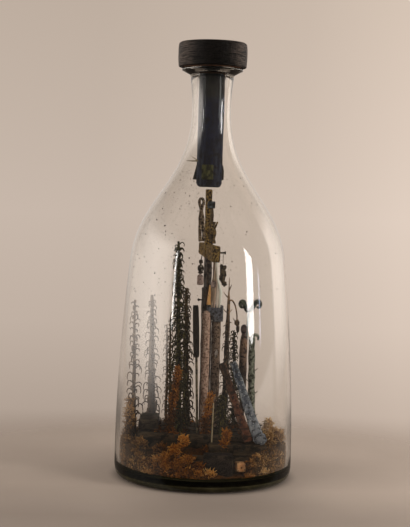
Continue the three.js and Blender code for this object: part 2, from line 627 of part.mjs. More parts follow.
function reedHead() {
  const radiusAt = (t) => REED.headEnd + (REED.headRadius - REED.headEnd) * Math.sin(Math.PI * t);
  return bar(line(reedAt(REED.headFoot), reedAt(REED.headTop)), radiusAt, 4, 10);
}

piece(scene, 'column', column(0), pinkMarble);
piece(scene, 'reed_stalk', reedStalk(0), rawWood);
piece(scene, 'reed_head', cut(reedHead(), reedStalk(FIT)), darkWood);
piece(scene, 'hooded_post', hood(0), brownWood);

// Cross: post and beam halved into each other, nails, foot rest, pillar and wedge
const cross = new THREE.Group();
cross.position.set(CROSS_X, 0, 0);
cross.rotation.z = THREE.MathUtils.degToRad(CROSS_TURN);
cross.updateMatrixWorld();
scene.add(cross);

const halfPost = POST_WIDTH / 2;
const halfBeam = BEAM_THICKNESS / 2;
const handNailY = BEAM_SPAN / 2 - NAIL_END;

function postBlank(grow) {
  const wide = halfPost + grow;
  const half = POST_TOP_WIDTH / 2;
  const foot = block(-wide, wide, -wide, wide, DECK_Z + FIT - grow, BEAM_TOP + BEAM_SHOULDER);
  return join(foot, block(-half, half, -half, half, BEAM_TOP, POST_TOP));
}

// A nail along X: head at the front, point at the back
function nail(headX, tipX, y, z, grow) {
  const shank = rod([headX, y, z], [tipX, y, z], NAIL_RADIUS + grow, 6);
  return grow > 0 ? shank : join(shank, ball(NAIL_HEAD, [headX, y, z]));
}

function handNail(side, grow) {
  return nail(halfBeam + NAIL_OUT, halfBeam - NAIL_IN - grow, side * handNailY, BEAM_MIDDLE, grow);
}

function footNail(grow) {
  return nail(halfPost + FIT + NAIL_HEAD, -halfPost - FOOT_NAIL_OUT, 0, FOOT_NAIL_Z, grow);
}

// Pegs of the pieces that stand on the beam (up) or hang under it (down)
function pegUp(x, y, grow) {
  return rod([x, y, BEAM_TOP - PEG_DEPTH - grow], [x, y, BEAM_TOP + 2 * FIT], PEG_RADIUS + grow, 6);
}

function pegDown(x, y, grow) {
  return rod([x, y, BEAM_Z - 2 * FIT], [x, y, BEAM_Z + PEG_DEPTH + grow], PEG_RADIUS + grow, 6);
}

const linenPegX = (LINEN.topFront - LINEN.back) / 2;
const pincersX = [PINCERS.x - PINCERS.spread / 2, PINCERS.x + PINCERS.spread / 2];

function beamShape() {
  const lap = block(-BEAM_THICKNESS, FIT, -halfPost - FIT, halfPost + FIT, BEAM_Z - FIT, BEAM_TOP + FIT);
  const blank = block(-halfBeam, halfBeam, -BEAM_SPAN / 2, BEAM_SPAN / 2, BEAM_Z, BEAM_TOP);
  return cut(blank, lap, handNail(1, FIT), handNail(-1, FIT),
    pegUp(0, HAMMER.y, FIT), pegUp(0, JUG.y, FIT), ...pincersX.map((x) => pegUp(x, PINCERS.y, FIT)),
    pegDown(0, LANTERN.y, FIT), pegDown(linenPegX, LINEN.y, FIT));
}

function postShape() {
  const lap = block(0, POST_WIDTH, -POST_WIDTH, POST_WIDTH, BEAM_Z - FIT, BEAM_TOP + FIT);
  return cut(postBlank(0), lap, footNail(FIT));
}

const restFoot = FOOT_REST.top - FOOT_REST.height;

function footRestShape() {
  const half = FOOT_REST.width / 2;
  const blank = plateXZ([
    [-FOOT_REST.back, FOOT_REST.top], [FOOT_REST.front, FOOT_REST.top], [FOOT_REST.front, restFoot],
    [FOOT_REST.slantEnd, restFoot], [-FOOT_REST.back, FOOT_REST.top - FOOT_REST.backHeight],
  ].reverse(), -half, half);
  const notch = block(-POST_WIDTH, halfPost + FIT, -halfPost - FIT, halfPost + FIT, 0, BEAM_Z);
  return cut(blank, notch);
}

function pillar(grow) {
  return rod([PILLAR_X, 0, uprightFoot - grow], [PILLAR_X, 0, restFoot - FIT], PILLAR_RADIUS + grow, 12);
}

function wedgeShape() {
  const foot = FOOT_REST.top + FIT;
  const left = -FOOT_REST.back;
  const right = left + WEDGE.width;
  const near = -halfPost - FIT;
  const outline = [
    [left, foot], [right, foot], [right, foot + WEDGE.shoulder],
    [right - WEDGE.slant, foot + WEDGE.height], [right - WEDGE.slant - WEDGE.top, foot + WEDGE.height],
  ];
  return plateXZ(outline, near - WEDGE.thickness, near);
}

piece(cross, 'cross_post', postShape(), barkWood);
piece(cross, 'cross_beam', beamShape(), barkWood);
piece(cross, 'hand_nail_near', handNail(-1, 0), iron);
piece(cross, 'hand_nail_far', handNail(1, 0), iron);
piece(cross, 'foot_nail', footNail(0), iron);
piece(cross, 'foot_rest', footRestShape(), slatePaint);
piece(cross, 'pillar', pillar(0), brownWood);
piece(cross, 'wedge', wedgeShape(), rawWood);

// Instruments on the beam: hammer, jug and pincers stand, lantern, purse, linen and rooster hang
const standingFoot = BEAM_TOP + FIT;

function hammerHandle(grow) {
  const top = BEAM_TOP + HAMMER.rise + 2 * FIT;
  const handle = rod([0, HAMMER.y, standingFoot], [0, HAMMER.y, top], HAMMER.handle + grow);
  return grow > 0 ? handle : join(handle, pegUp(0, HAMMER.y, 0));
}

function hammerHead() {
  const top = BEAM_TOP + HAMMER.rise;
  const head = block(-HAMMER.headDepth / 2, HAMMER.headDepth / 2, HAMMER.y - HAMMER.headWidth / 2,
    HAMMER.y + HAMMER.headWidth / 2, top - HAMMER.headHeight, top);
  return cut(head, hammerHandle(FIT));
}

function jugShape() {
  const top = standingFoot + JUG.height;
  const body = turned(JUG_PROFILE, JUG.radius, standingFoot, top, 10).translate(0, JUG.y, 0);
  return join(body, ball(JUG.spout, [JUG.spoutOut, JUG.y, top - JUG.spout / 2], 6), pegUp(0, JUG.y, 0));
}

function pincersShape() {
  const top = standingFoot + PINCERS.height;
  const jawZ = top - PINCERS.ring - PINCERS.bar;
  const pivotZ = jawZ - PINCERS.ring - PINCERS.bar - PINCERS.pivot;
  const headX = PINCERS.x + PINCERS.lean;
  const jaws = new THREE.TorusGeometry(PINCERS.ring, PINCERS.bar, 6, 12).rotateX(Math.PI / 2);
  jaws.scale(PINCERS.ringSquash, 1, 1).translate(headX, PINCERS.y, jawZ);
  const pivotEnds = [-PINCERS.pivot, PINCERS.pivot].map((reach) => [headX, PINCERS.y + reach, pivotZ]);
  const pivot = rod(pivotEnds[0], pivotEnds[1], PINCERS.pivotRadius);
  const handles = pincersX.map((x) => {
    const out = Math.sign(x - PINCERS.x) * PINCERS.belly;
    const over = [PINCERS.x + PINCERS.lean / 2 + out, PINCERS.y, (pivotZ + standingFoot) / 2];
    const curve = bend([headX, PINCERS.y, pivotZ], over, [x, PINCERS.y, standingFoot]);
    return bar(curve, () => PINCERS.bar, 5, 6);
  });
  return join(jaws, pivot, ...handles, ...pincersX.map((x) => pegUp(x, PINCERS.y, 0)));
}

const lanternTop = BEAM_Z - LANTERN.drop;
const lanternFoot = lanternTop - LANTERN.height;

function pursePeg(grow) {
  const top = lanternFoot + PEG_DEPTH + grow;
  return rod([0, LANTERN.y, lanternFoot - 2 * FIT], [0, LANTERN.y, top], PEG_RADIUS + grow, 6);
}

function lanternShape() {
  const body = turned(LANTERN_PROFILE, LANTERN.radius, lanternFoot, lanternTop, 10);
  const hanger = rod([0, 0, lanternTop - LANTERN.hook], [0, 0, BEAM_Z + PEG_DEPTH], LANTERN.hook, 6);
  const knob = ball(LANTERN.ball, [0, 0, lanternTop + LANTERN.ball / 2]);
  return cut(join(body, hanger, knob).translate(0, LANTERN.y, 0), pursePeg(FIT));
}

function purseShape() {
  const top = lanternFoot - FIT;
  const body = turned(PURSE_PROFILE, PURSE.radius, top - PURSE.height, top, 8);
  return join(body.translate(0, LANTERN.y, 0), pursePeg(0));
}

// The linen hangs in lengthwise folds, side by side, that swell towards the foot
function linenShape() {
  const top = BEAM_Z - FIT;
  const foot = top - LINEN.height;
  const folds = Array.from({ length: LINEN_FOLD_COUNT }, (_, i) => {
    const share = i / (LINEN_FOLD_COUNT - 1);
    const first = LINEN.foldRadius - LINEN.back;
    const across = (front) => first + (front - LINEN.foldRadius - first) * share;
    const y = LINEN.y + (i % 2 ? LINEN.foldDepth : -LINEN.foldDepth) / 2;
    const belly = 2 * across(LINEN.bulge) - (across(LINEN.topFront) + across(LINEN.footFront)) / 2;
    const from = [across(LINEN.topFront), y, top];
    const to = [across(LINEN.footFront), y, foot];
    const curve = bend(from, [belly, y, (top + foot) / 2], to);
    return bar(curve, () => LINEN.foldRadius, 5, 8);
  });
  return join(...folds, pegDown(linenPegX, LINEN.y, 0));
}

function roosterShape() {
  const x = halfBeam + ROOSTER.along;
  const y = -handNailY;
  const ringRadius = NAIL_RADIUS + FIT + ROOSTER.wire;
  const ring = new THREE.TorusGeometry(ringRadius, ROOSTER.wire, 5, 10).rotateY(Math.PI / 2);
  ring.translate(x, y, BEAM_MIDDLE);
  const firstLump = BEAM_MIDDLE - ROOSTER.drop - ROOSTER.radius;
  const wire = rod([x, y, firstLump], [x, y, BEAM_MIDDLE - ringRadius], ROOSTER.wire, 5);
  const lumps = Array.from({ length: ROOSTER_LUMP_COUNT }, (_, i) => {
    const place = [x + ROOSTER.sway * (i % 2), y, firstLump - ROOSTER.pitch * i];
    return ball(ROOSTER.radius, place);
  });
  return join(ring, wire, ...lumps);
}

piece(cross, 'hammer_handle', hammerHandle(0), brownWood);
piece(cross, 'hammer_head', hammerHead(), slatePaint);
piece(cross, 'jug', jugShape(), redBrownPaint);
piece(cross, 'pincers', pincersShape(), iron);
piece(cross, 'lantern', lanternShape(), darkWood);
piece(cross, 'purse', purseShape(), pinkMarble);
piece(cross, 'linen_slip', linenShape(), paleLinen);
piece(cross, 'rooster', roosterShape(), slatePaint);

// Ladder leaning from the sill to the pillar: two rails and the rungs let into them
const ladderY = (SILL_FRONT + SILL_BACK) / 2 + LADDER.sillOffset;
const ladderFoot = new THREE.Vector3(LADDER.x, ladderY, SILL_TOP + FIT + LADDER.railDepth / 2);
const ladderHead = new THREE.Vector3(LADDER.headX, LADDER.headY, LADDER.headZ);

function ladderRail(side, grow) {
  const shift = new THREE.Vector3(side * LADDER.width, 0, 0);
  const length = ladderFoot.distanceTo(ladderHead) + 2 * grow;
  const rail = new THREE.BoxGeometry(LADDER.railWidth + 2 * grow, LADDER.railDepth + 2 * grow, length);
  const slant = ladderHead.clone().sub(ladderFoot).normalize();
  const turn = new THREE.Quaternion().setFromUnitVectors(new THREE.Vector3(0, 0, 1), slant);
  const middle = ladderFoot.clone().lerp(ladderHead, 0.5).add(shift);
  return rail.applyQuaternion(turn).translate(...middle.toArray());
}

function ladderRung(number, grow) {
  const { x, y, z } = ladderFoot.clone().lerp(ladderHead, (number + 0.5) / RUNG_COUNT);
  const inset = LADDER.inset + grow;
  return rod([x - inset, y, z], [x + LADDER.width + inset, y, z], LADDER.rung + grow);
}

const rungNumbers = Array.from({ length: RUNG_COUNT }, (_, number) => number);
['left', 'right'].forEach((name, side) => {
  const rail = cut(ladderRail(side, 0), ...rungNumbers.map((number) => ladderRung(number, FIT)));
  piece(scene, `ladder_rail_${name}`, rail, side ? bluegreyPaint : redBrownPaint);
});
rungNumbers.forEach((number) => piece(scene, `ladder_rung_${number + 1}`, ladderRung(number, 0), darkWood));

// Raft: bearers across the floor, deck slats on them, with sockets for everything that stands
const treeSizes = [
  LEFT_WALL_TREE, LEFT_BACK_TREE, LEFT_FAR_TREE, LEFT_THIN_TREE, TALL_GREEN_TREE, BROWN_GREEN_TREE,
  RIGHT_SPIKE_TREE, RIGHT_TWIG_TREE, FRONT_BUSH_TREE, GREEN_POST_TREE, RIGHT_PALM_TREE,
];
const treeRoom = treeSizes.map((sizes) => trunk(sizes, FIT));
const crossRoom = [postBlank(FIT), pillar(FIT)].map((shape) => shape.applyMatrix4(cross.matrixWorld));
const sockets = [...treeRoom, column(FIT), reedStalk(FIT), hood(FIT), ...crossRoom];

// A slat with chamfered long edges, lying along X
function slatX(x0, x1, y, z, width, height) {
  const half = width / 2;
  const c = SLAT_CHAMFER;
  const corners = [
    [c - half, 0], [half - c, 0], [half, c], [half, height - c],
    [half - c, height], [c - half, height], [-half, height - c], [-half, c],
  ];
  const section = new THREE.Shape(corners.map(([across, up]) => new THREE.Vector2(across, up)));
  const slat = new THREE.ExtrudeGeometry(section, { depth: x1 - x0, bevelEnabled: false });
  return slat.rotateX(Math.PI / 2).rotateZ(Math.PI / 2).translate(x0, y, z);
}

const bearers = Array.from({ length: BEARER_COUNT }, (_, number) => {
  const x = bearerX(number);
  const reach = Math.sqrt(RAFT_RADIUS ** 2 - (Math.abs(x) + SLAT_WIDTH / 2) ** 2);
  const front = Math.max(BLOCK_BACK + FRONT_BLOCK.backGap, -reach);
  return { x, front, back: reach };
});
bearers.forEach(({ x, front, back }, number) => {
  const slat = slatX(front, back, 0, BEARER_Z, SLAT_WIDTH, SLAT_HEIGHT).rotateZ(Math.PI / 2);
  piece(scene, `bearer_slat_${number + 1}`, cut(slat.translate(x, 0, 0), ...sockets), darkWood);
});

for (let number = 0; number < DECK_COUNT; number += 1) {
  const y = DECK_PITCH * (number - (DECK_COUNT - 1) / 2);
  const slat = slatX(DECK_LEFT, DECK_RIGHT, y, DECK_Z, SLAT_WIDTH, SLAT_HEIGHT);
  piece(scene, `deck_slat_${number + 1}`, cut(slat, ...sockets), darkWood);
}

const sillY = (SILL_FRONT + SILL_BACK) / 2;
const sill = slatX(SILL_LEFT, SILL_LEFT + SILL_SPAN, sillY, DECK_Z, SILL_BACK - SILL_FRONT, SILL_HEIGHT);
const plank = slatX(-PLANK.span / 2, PLANK.span / 2, 0, DECK_TOP + FIT, PLANK.width, PLANK.height);

piece(scene, 'sill', sill, darkWood);
piece(scene, 'plank', plank.rotateZ(Math.PI / 2).translate(DECK_LEFT + PLANK.inset, 0, 0), brownWood);

function frontBlock(grow, above = 0) {
  const left = BLOCK_RIGHT - FRONT_BLOCK.width;
  return block(left - grow, BLOCK_RIGHT + grow, BLOCK_FRONT - grow, BLOCK_BACK + grow,
    BEARER_Z - grow, BEARER_Z + FRONT_BLOCK.height + above);
}

function die(grow, above = 0) {
  const side = DIE.size + 2 * grow;
  const cube = new THREE.BoxGeometry(side, side, side + above);
  cube.rotateZ(THREE.MathUtils.degToRad(DIE.turn));
  return cube.translate(DIE_X, DIE_Y, BEARER_Z + DIE.rise + (DIE.size + above) / 2);
}

piece(scene, 'front_block', frontBlock(0), darkWood);
piece(scene, 'die', die(0), dieWood);

// Moss: tufts that stand up, and the bed that fills the bottle round the raft
function wallTuft(grow) {
  const out = INNER_RADIUS - WALL_TUFT.wallGap;
  const angle = THREE.MathUtils.degToRad(WALL_TUFT.bearing);
  const shape = turned(TUFT_PROFILE, WALL_TUFT.radius, MOSS_EDGE_TOP - TUFT_SINK, WALL_TUFT.top, 8, grow);
  return shape.translate(out * Math.cos(angle), out * Math.sin(angle), 0);
}

function deckTuft({ x, y, radius, top }, grow) {
  return turned(TUFT_PROFILE, radius, DECK_TOP + FIT, top, 8, grow).translate(x, y, 0);
}

function mossBed() {
  const edge = (INNER_RADIUS - MOSS_GAP) * FACET_SHARE;
  const bed = lathe([
    [0, BEARER_Z], [edge - FLOOR_CORNER, BEARER_Z], [edge, BEARER_Z + FLOOR_CORNER], [edge, MOSS_EDGE_TOP],
    [edge - MOSS_EDGE_WIDTH, MOSS_TOP - MOSS_CROWN], [0, MOSS_TOP],
  ], BOTTLE_FACETS);
  const half = SLAT_WIDTH / 2 + FIT;
  const bearerRoom = bearers.map(({ x, front, back }) => block(
    x - half, x + half, front - FIT, back + FIT, 0, BEARER_TOP + FIT));
  const deckEdge = DECK_HALF + FIT;
  const deckRoom = block(DECK_LEFT - FIT, DECK_RIGHT + FIT, -deckEdge, deckEdge, 0, DECK_TOP);
  const sillRoom = block(SILL_LEFT - FIT, SILL_LEFT + SILL_SPAN + FIT,
    SILL_FRONT - FIT, SILL_BACK + FIT, BEARER_TOP, DECK_TOP);
  return cut(bed, ...bearerRoom, deckRoom, sillRoom, frontBlock(FIT, MOSS_TOP), die(FIT, MOSS_TOP),
    ladderRail(0, FIT), ladderRail(1, FIT), ...treeRoom,
    wallTuft(FIT), deckTuft(LEFT_TUFT, FIT), deckTuft(MIDDLE_TUFT, FIT));
}

piece(scene, 'moss_tuft_wall', wallTuft(0), mossOrange);
piece(scene, 'moss_tuft_left', deckTuft(LEFT_TUFT, 0), mossOrange);
piece(scene, 'moss_tuft_middle', deckTuft(MIDDLE_TUFT, 0), mossOrange);
piece(scene, 'moss_bed', mossBed(), mossOrange);

export default scene;
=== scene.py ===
# Calvary in a bottle: a carved wooden cross with small tools and tokens on its beam, a ladder,
# shaved-curl trees and dried moss on a raft of slats, built inside a clear glass bottle and shut
# in by a stopper that a key and a pin lock from within.
import math
import random

import bpy
import bmesh
from mathutils import Matrix, Vector, noise


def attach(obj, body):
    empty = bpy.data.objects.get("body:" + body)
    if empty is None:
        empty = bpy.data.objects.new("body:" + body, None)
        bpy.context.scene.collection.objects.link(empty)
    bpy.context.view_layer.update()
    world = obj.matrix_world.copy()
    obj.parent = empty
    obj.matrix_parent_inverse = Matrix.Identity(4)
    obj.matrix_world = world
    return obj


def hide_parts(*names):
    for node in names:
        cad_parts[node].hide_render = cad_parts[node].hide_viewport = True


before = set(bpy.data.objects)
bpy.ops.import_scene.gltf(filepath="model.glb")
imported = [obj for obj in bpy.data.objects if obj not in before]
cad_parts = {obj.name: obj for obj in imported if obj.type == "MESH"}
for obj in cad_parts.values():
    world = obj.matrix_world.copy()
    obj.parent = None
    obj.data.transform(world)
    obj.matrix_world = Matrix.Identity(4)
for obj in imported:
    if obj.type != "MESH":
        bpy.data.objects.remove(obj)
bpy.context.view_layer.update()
scene = bpy.context.scene
scene.view_settings.view_transform = "Standard"

# Camera
# It stands nearly a metre in front, level with the shoulder of the bottle, looks slightly down and
# is tilted a little, so that the bottle leans to the right in the picture.
eye = Vector((-0.0019, -0.943, 0.210))
look_down = math.radians(3.17)
tilt = 0.0257
ahead = Vector((0, math.cos(look_down), -math.sin(look_down)))
level = Vector((1, 0, 0))
above = level.cross(ahead)
aside = level * math.cos(tilt) + above * math.sin(tilt)
upward = above * math.cos(tilt) - level * math.sin(tilt)
camera_data = bpy.data.cameras.new("camera")
camera_data.sensor_fit = "VERTICAL"
camera_data.sensor_height = 36
camera_data.lens = 87.03
camera = bpy.data.objects.new("camera", camera_data)
camera.matrix_world = Matrix((
    (aside.x, upward.x, -ahead.x, eye.x),
    (aside.y, upward.y, -ahead.y, eye.y),
    (aside.z, upward.z, -ahead.z, eye.z),
    (0, 0, 0, 1),
))
scene.collection.objects.link(camera)
scene.camera = camera


# Floor and backdrop
# A warm grey sheet of paper runs up into a paler backdrop, brighter on the right; on the paper that
# brightening is painted light, and painted shadows darken it round and in front of the bottle. Gloss and
# glass mirror a dark studio instead, with a softbox, a bright strip, two thin lines of light and a screen.
def paint(red, green, blue):
    """A colour given as 0 to 255, made ready for a shader."""
    shares = (red / 255, green / 255, blue / 255)
    return tuple(((s + 0.055) / 1.055) ** 2.4 if s > 0.04045 else s / 12.92 for s in shares) + (1.0,)


def add_node(tree, kind, sockets=None, **settings):
    """A shader node with its settings, and its sockets filled or linked."""
    node = tree.nodes.new("ShaderNode" + kind)
    for key, value in settings.items():
        setattr(node, key, value)
    for socket, value in (sockets or {}).items():
        if isinstance(value, bpy.types.NodeSocket):
            tree.links.new(value, node.inputs[socket])
        else:
            node.inputs[socket].default_value = value
    return node


def add_ramp(tree, share, stops):
    """Colours laid along a share from 0 to 1."""
    node = add_node(tree, "ValToRGB", {"Fac": share})
    bands = node.color_ramp.elements
    while len(bands) < len(stops):
        bands.new(0.5)
    for band, (place, colour) in zip(bands, stops):
        band.position = place
        band.color = colour
    return node.outputs["Color"]


def calc(tree, operation, *values):
    """The result of one sum or comparison of sockets and numbers."""
    return add_node(tree, "Math", dict(enumerate(values)), operation=operation).outputs[0]


def vectors(tree, operation, *values):
    """What comes of one sum of vectors: a vector, or a value where it is a length."""
    return add_node(tree, "VectorMath", dict(enumerate(values)), operation=operation).outputs


def axes_of(tree, place):
    """The three axes of a place, each by its letter."""
    return add_node(tree, "SeparateXYZ", {"Vector": place}).outputs


def ranged(tree, value, low, high, first=0.0, last=1.0, soft=False):
    """A value carried from one span to another and kept inside it."""
    return add_node(tree, "MapRange", {
        "Value": value, "From Min": low, "From Max": high, "To Min": first, "To Max": last,
    }, interpolation_type="SMOOTHSTEP" if soft else "LINEAR").outputs["Result"]


def times(tree, colour, factor):
    """A colour made brighter or darker by a factor."""
    return add_node(tree, "VectorMath", {0: colour, "Scale": factor}, operation="SCALE").outputs["Vector"]


def blend(tree, share, first, second, way="MIX"):
    """Two colours mixed by a share."""
    return add_node(tree, "Mix", {0: share, 6: first, 7: second}, data_type="RGBA", blend_type=way).outputs[2]


def cloud(tree, place, scale, detail, rough=0.5):
    """Soft noise of that fineness."""
    return add_node(tree, "TexNoise", {
        "Vector": place, "Scale": scale, "Detail": detail, "Roughness": rough,
    }).outputs["Fac"]


def new_paint(name):
    """A fresh material with its tree, its surface and the place on the piece."""
    material = bpy.data.materials.new(name)
    material.use_nodes = True
    tree = material.node_tree
    return material, tree, tree.nodes["Principled BSDF"], add_node(tree, "TexCoord").outputs["Object"]


def settle(face, values):
    """Fixed values set straight on the sockets of a surface."""
    for socket, value in values.items():
        face.inputs[socket].default_value = value


def emboss(tree, face, height, strength, distance):
    """Relief from a height, set on a surface."""
    raised = add_node(tree, "Bump", {"Height": height, "Strength": strength, "Distance": distance})
    tree.links.new(raised.outputs["Normal"], face.inputs["Normal"])


def greys(value, *stops):
    """Even greys in the air, laid along a value from 0 to 1."""
    return add_ramp(air, value, [(place, (level, level, level, 1.0)) for place, level in stops])


def greys_round(*stops):
    """Even greys round the studio, by their bearing: 0 in front, positive to the right."""
    return greys(round_share, *[((degrees + 180) / 360, level) for degrees, level in stops])


sky = bpy.data.worlds.new("studio")
scene.world = sky
sky.use_nodes = True
air = sky.node_tree
air.nodes.clear()
axes = axes_of(air, add_node(air, "TexCoord").outputs["Generated"])
height = ranged(air, axes["Z"], -0.27, 0.15)
shades = add_ramp(air, height, [
    (0.15, paint(152, 136, 123)), (0.2, paint(159, 143, 130)), (0.24, paint(176, 160, 147)),
    (0.4, paint(192, 176, 163)), (0.6, paint(199, 183, 170)), (0.98, paint(190, 174, 160)),
])
rightward = ranged(air, axes["X"], -0.082, 0.075, 1.0, 1.14)
far_right = ranged(air, axes["X"], 0.075, 0.153, 1.0, 1.15)
backdrop = times(air, shades, calc(air, "MULTIPLY", rightward, far_right))

bearing = calc(air, "ARCTAN2", axes["X"], calc(air, "MULTIPLY", axes["Y"], -1.0))
round_share = ranged(air, bearing, -math.pi, math.pi)
soft_glow = greys_round(
    (-180, 0.1), (-140, 0.12), (-120, 0.3), (-84, 0.74), (-66, 0.7), (-54, 0.5), (-50.5, 0.03), (-40, 0.004),
    (48, 0.004), (74, 0.04), (106, 0.06), (110, 0.5), (124, 0.4), (140, 0.2), (152, 0.1), (180, 0.1),
)
up_gate = greys(
    ranged(air, axes["Z"], -0.2, 1.0), (0.06, 0.03), (0.09, 0.3), (0.14, 0.8), (0.18, 1.0), (0.46, 1.0),
    (0.58, 0.3), (0.68, 0.08), (0.95, 0.03),
)
softbox = blend(air, 1.0, soft_glow, up_gate, "MULTIPLY")
strip_left = ranged(air, axes["Z"], -0.004, 0.03, math.radians(65), math.radians(58))
strip_low = ranged(air, axes["Z"], -0.004, 0.03, math.radians(65), math.radians(70.5))
strip_high = ranged(air, axes["Z"], 0.22, 0.44, math.radians(69), math.radians(56))
strip_right = calc(air, "MINIMUM", strip_low, strip_high)
strip = calc(air, "MULTIPLY", calc(air, "GREATER_THAN", bearing, strip_left),
             calc(air, "LESS_THAN", bearing, strip_right))
line_aside = calc(air, "ABSOLUTE", calc(air, "ADD", bearing, math.radians(47.6)))
line_across = ranged(air, line_aside, math.radians(0.5), math.radians(1.6), 1.0, 0.0)
line_along = greys(ranged(air, axes["Z"], 0.0, 1.0), (0.03, 0.0), (0.06, 1.0), (0.3, 1.0), (0.36, 0.0))
thin_line = calc(air, "MULTIPLY", line_across, line_along)
sweep_edge = calc(air, "MULTIPLY_ADD", bearing, 0.09, -0.19)
sweep_top = ranged(air, calc(air, "SUBTRACT", sweep_edge, axes["Z"]), 0.0, 0.022, soft=True)
sweep_foot = ranged(air, axes["Z"], -0.16, -0.09)
sweep_across = greys_round((66, 0.0), (73, 1.0), (98, 0.8), (109, 0.0))
sweep = calc(air, "MULTIPLY", calc(air, "MULTIPLY", sweep_top, sweep_foot), sweep_across)
blue_across = greys_round((77.6, 0.0), (78.4, 1.0), (79.4, 1.0), (80.2, 0.0))
blue_along = greys(ranged(air, axes["Z"], -0.05, 1.0), (0.03, 0.0), (0.05, 1.0), (0.13, 1.0), (0.16, 0.0))
blue_line = calc(air, "MULTIPLY", blue_across, blue_along)
lamps_seen = vectors(air, "MULTIPLY", softbox, (7.2, 6.6, 6.1))["Vector"]
for share, glow in (
    (strip, (15.0, 14.6, 14.2)), (thin_line, (17.0, 16.4, 15.8)), (sweep, (1.7, 1.55, 1.42)),
    (blue_line, (6.5, 7.2, 9.5)),
):
    lamps_seen = vectors(air, "ADD", lamps_seen, times(air, glow, share))["Vector"]
behind = ranged(air, axes["Y"], 0.1, 0.6, 0.3, 0.95, soft=True)
low_down = greys(height, (0.2, 0.3), (0.25, 0.45), (0.295, 0.8), (0.35, 1.0))
wall_seen = times(air, backdrop, calc(air, "MULTIPLY", behind, low_down))
path_of_light = add_node(air, "LightPath").outputs
from_inside = ranged(air, path_of_light["Transmission Depth"], 0.4, 0.6, 1.0, 0.16)
mirrored = vectors(air, "MAXIMUM", times(air, lamps_seen, from_inside), wall_seen)["Vector"]

glassy = calc(air, "MAXIMUM", path_of_light["Is Glossy Ray"], path_of_light["Is Transmission Ray"])
seen = calc(air, "MAXIMUM", path_of_light["Is Camera Ray"], glassy)
not_scattered = calc(air, "LESS_THAN", path_of_light["Diffuse Depth"], 0.5)
in_mirror = calc(air, "GREATER_THAN", path_of_light["Glossy Depth"], 0.5)
overhead = ranged(air, axes["Z"], 0.15, 0.5, 1.0, 0.3)
straight = calc(air, "MAXIMUM", path_of_light["Is Camera Ray"], overhead)
picture = blend(air, in_mirror, times(air, backdrop, straight), mirrored)
dome_light = add_node(air, "Background", {"Color": (1.0, 0.95, 0.9, 1), "Strength": 0.42})
picture_light = add_node(air, "Background", {"Color": picture, "Strength": 1.0})
all_light = add_node(air, "MixShader", {
    "Fac": calc(air, "MULTIPLY", seen, not_scattered), 1: dome_light.outputs[0], 2: picture_light.outputs[0],
})
add_node(air, "OutputWorld", {"Surface": all_light.outputs[0]})

floor_paper, paper, paper_face, paper_place = new_paint("floor_paper")
emboss(paper, paper_face, cloud(paper, paper_place, 900.0, 2.0), 0.15, 0.0002)
paper_colour = add_ramp(paper, cloud(paper, paper_place, 9.0, 5.0), [
    (0.3, paint(177, 161, 148)), (0.7, paint(185, 169, 156)),
])
paper_side = axes_of(paper, paper_place)
paper_away = vectors(paper, "LENGTH", paper_place)["Value"]
painted_shadow_middle = (0.016, -0.08, 0)
paper_ahead = vectors(paper, "DISTANCE", paper_place, painted_shadow_middle)["Value"]
# The paper's painted light and shadow: brighter towards the right, where the lamps fall, a painted shadow
# ring round the foot of the bottle, darker towards the front and a broad painted shadow just in front of the
# foot.
paper_light_and_shadow = ranged(paper, paper_side["X"], -0.12, 0.2, 1.0, 1.21)
for shade in (
    ranged(paper, paper_away, 0.058, 0.072, 0.4, 1.0, soft=True),
    ranged(paper, paper_side["Y"], -0.13, -0.045, 0.7, 1.0),
    ranged(paper, paper_ahead, 0.01, 0.09, 0.7, 1.0, soft=True),
):
    paper_light_and_shadow = calc(paper, "MULTIPLY", paper_light_and_shadow, shade)
paper.links.new(times(paper, paper_colour, paper_light_and_shadow), paper_face.inputs["Base Color"])
settle(paper_face, {"Roughness": 0.9, "Specular IOR Level": 0.1})
paper_edge = add_node(paper, "MixShader", {
    "Fac": ranged(paper, paper_away, 0.13, 0.3, soft=True),
    1: paper_face.outputs[0], 2: add_node(paper, "BsdfTransparent").outputs[0],
})
paper.links.new(paper_edge.outputs[0], paper.nodes["Material Output"].inputs["Surface"])
FLOOR_RADIUS = 0.5
FLOOR_SIDES = 96
floor_ring = []
for k in range(FLOOR_SIDES):
    angle = 2 * math.pi * k / FLOOR_SIDES
    floor_ring.append((FLOOR_RADIUS * math.cos(angle), FLOOR_RADIUS * math.sin(angle), 0.0))
floor_mesh = bpy.data.meshes.new("floor")
floor_mesh.from_pydata(floor_ring, [], [tuple(range(FLOOR_SIDES))])
floor_mesh.materials.append(floor_paper)
floor = bpy.data.objects.new("floor", floor_mesh)
scene.collection.objects.link(floor)
floor.visible_glossy = False


# Lamps
# A broad soft light on the left, a tall strip on the right and a wider dim light behind that. They
# light the object only: what the glass mirrors of them is drawn in the studio round it.
def soft_lamp(name, place, aim, width, height, radiance, colour):
    """A flat lamp of that brightness, which shows only in what it lights and in reflections."""
    data = bpy.data.lights.new(name, "AREA")
    data.shape = "RECTANGLE"
    data.size = width
    data.size_y = height
    data.energy = radiance * math.pi * width * height
    data.color = colour
    lamp = bpy.data.objects.new(name, data)
    lamp.location = place
    lamp.rotation_euler = (Vector(aim) - Vector(place)).to_track_quat("-Z", "Y").to_euler()
    lamp.visible_camera = False
    lamp.visible_transmission = False
    lamp.visible_glossy = False
    scene.collection.objects.link(lamp)


soft_lamp("left_softbox", (-1.06, -0.285, 0.58), (0, 0, 0.2), 1.3, 0.8, 2.1, (1.0, 0.95, 0.9))
soft_lamp("right_strip", (0.91, -0.41, 0.43), (0, 0, 0.18), 0.24, 0.48, 13.0, (1.0, 0.97, 0.93))
soft_lamp("right_window", (1.1, 0.25, 0.5), (0, 0, 0.2), 0.7, 0.8, 1.6, (1.0, 0.95, 0.9))

